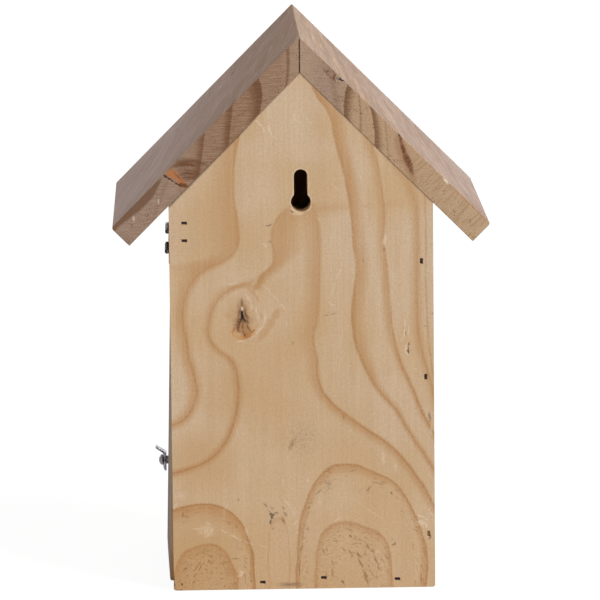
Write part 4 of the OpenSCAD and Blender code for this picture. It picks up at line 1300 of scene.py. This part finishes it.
PANEL_EDGE = 0.15  # mm, how far each kind of piece has its edges eased
FLOOR_EDGE = 0.35
SIDE_EDGE = 0.5
ROOF_EDGE = 0.4
PLATE_EDGE = 0.08
SMALL_EDGE = 0.06
HINGE_LEAVES = (
    "rear_hinge_rail_leaf", "rear_hinge_door_leaf",
    "front_hinge_rail_leaf", "front_hinge_door_leaf",
)
HINGE_PINS = ("rear_hinge_pin", "front_hinge_pin")
HINGE_SCREWS = ("rail_hinge_screws", "door_hinge_screws")
DARK_BRADS = (
    "back_rail_brads", "back_floor_brads", "front_side_brads", "front_rail_brads",
    "front_floor_brads", "roof_left_brads", "roof_right_brads",
)


def make_nest_box():
    """Gives each node its finish. A pith is (across, deep, along), in mm."""
    dress("back_panel", make_back_pine(), PANEL_EDGE)
    front_pine = make_plain_pine("front_pine", "Z", (16.0, -4.0, 0.0), 11.0, 42.0, 37.0)
    dress("front_panel", front_pine, PANEL_EDGE)
    floor_pine = make_plain_pine("floor_pine", "Y", (-12.0, 60.0, 0.0), 8.0, 24.0, 71.0)
    dress("floor", floor_pine, FLOOR_EDGE)
    fixed_pine = make_stained_side("fixed_side_pine", -1.0, (-20.0, 40.0, 0.0), 9.0, 34.0, 53.0)
    dress("fixed_side", fixed_pine, SIDE_EDGE)
    door_pine = make_stained_side("door_side_pine", 1.0, (18.0, -8.0, 0.0), 8.0, 40.0, 19.0)
    dress("top_rail", door_pine, SIDE_EDGE)
    make_door(door_pine)
    door_roof = make_roof_pine(
        "door_side_roof_pine", 1.0, DOOR_SIDE_LINES, DOOR_SIDE_ENDS, DOOR_SIDE_TOP,
        DOOR_TOP_TINT, (0.16, 0.50), 5.0, door_side_end,
    )
    dress("roof_board_right", door_roof, ROOF_EDGE)
    fixed_roof = make_roof_pine(
        "fixed_side_roof_pine", -1.0, FIXED_SIDE_LINES, FIXED_SIDE_ENDS, FIXED_SIDE_TOP,
        FIXED_TOP_TINT, (0.035, 0.15), 8.0, fixed_side_end,
    )
    dress("roof_board_left", fixed_roof, ROOF_EDGE)
    steel = {name: make_steel(name, *row) for name, row in STEELS.items()}
    for nodes, name, edge in (
        (HINGE_LEAVES, "hinge_steel", PLATE_EDGE),
        (HINGE_PINS + HINGE_SCREWS, "hinge_steel", SMALL_EDGE),
        (("catch_plate", "catch_spacer"), "catch_steel", PLATE_EDGE),
        (("catch_screw",), "catch_steel", SMALL_EDGE),
        (DARK_BRADS, "dark_steel", None),
    ):
        for node in nodes:
            dress(node, steel[name], edge)
    dress("back_side_brads", make_part_filled())


bpy.context.scene.view_settings.view_transform = "Standard"
make_camera()
make_world()
make_floor()
make_lamp("key_lamp", KEY_LIGHT, KEY_FROM, KEY_SOFTNESS)
make_lamp("fill_lamp", FILL_LIGHT, FILL_FROM, FILL_SOFTNESS)
make_nest_box()
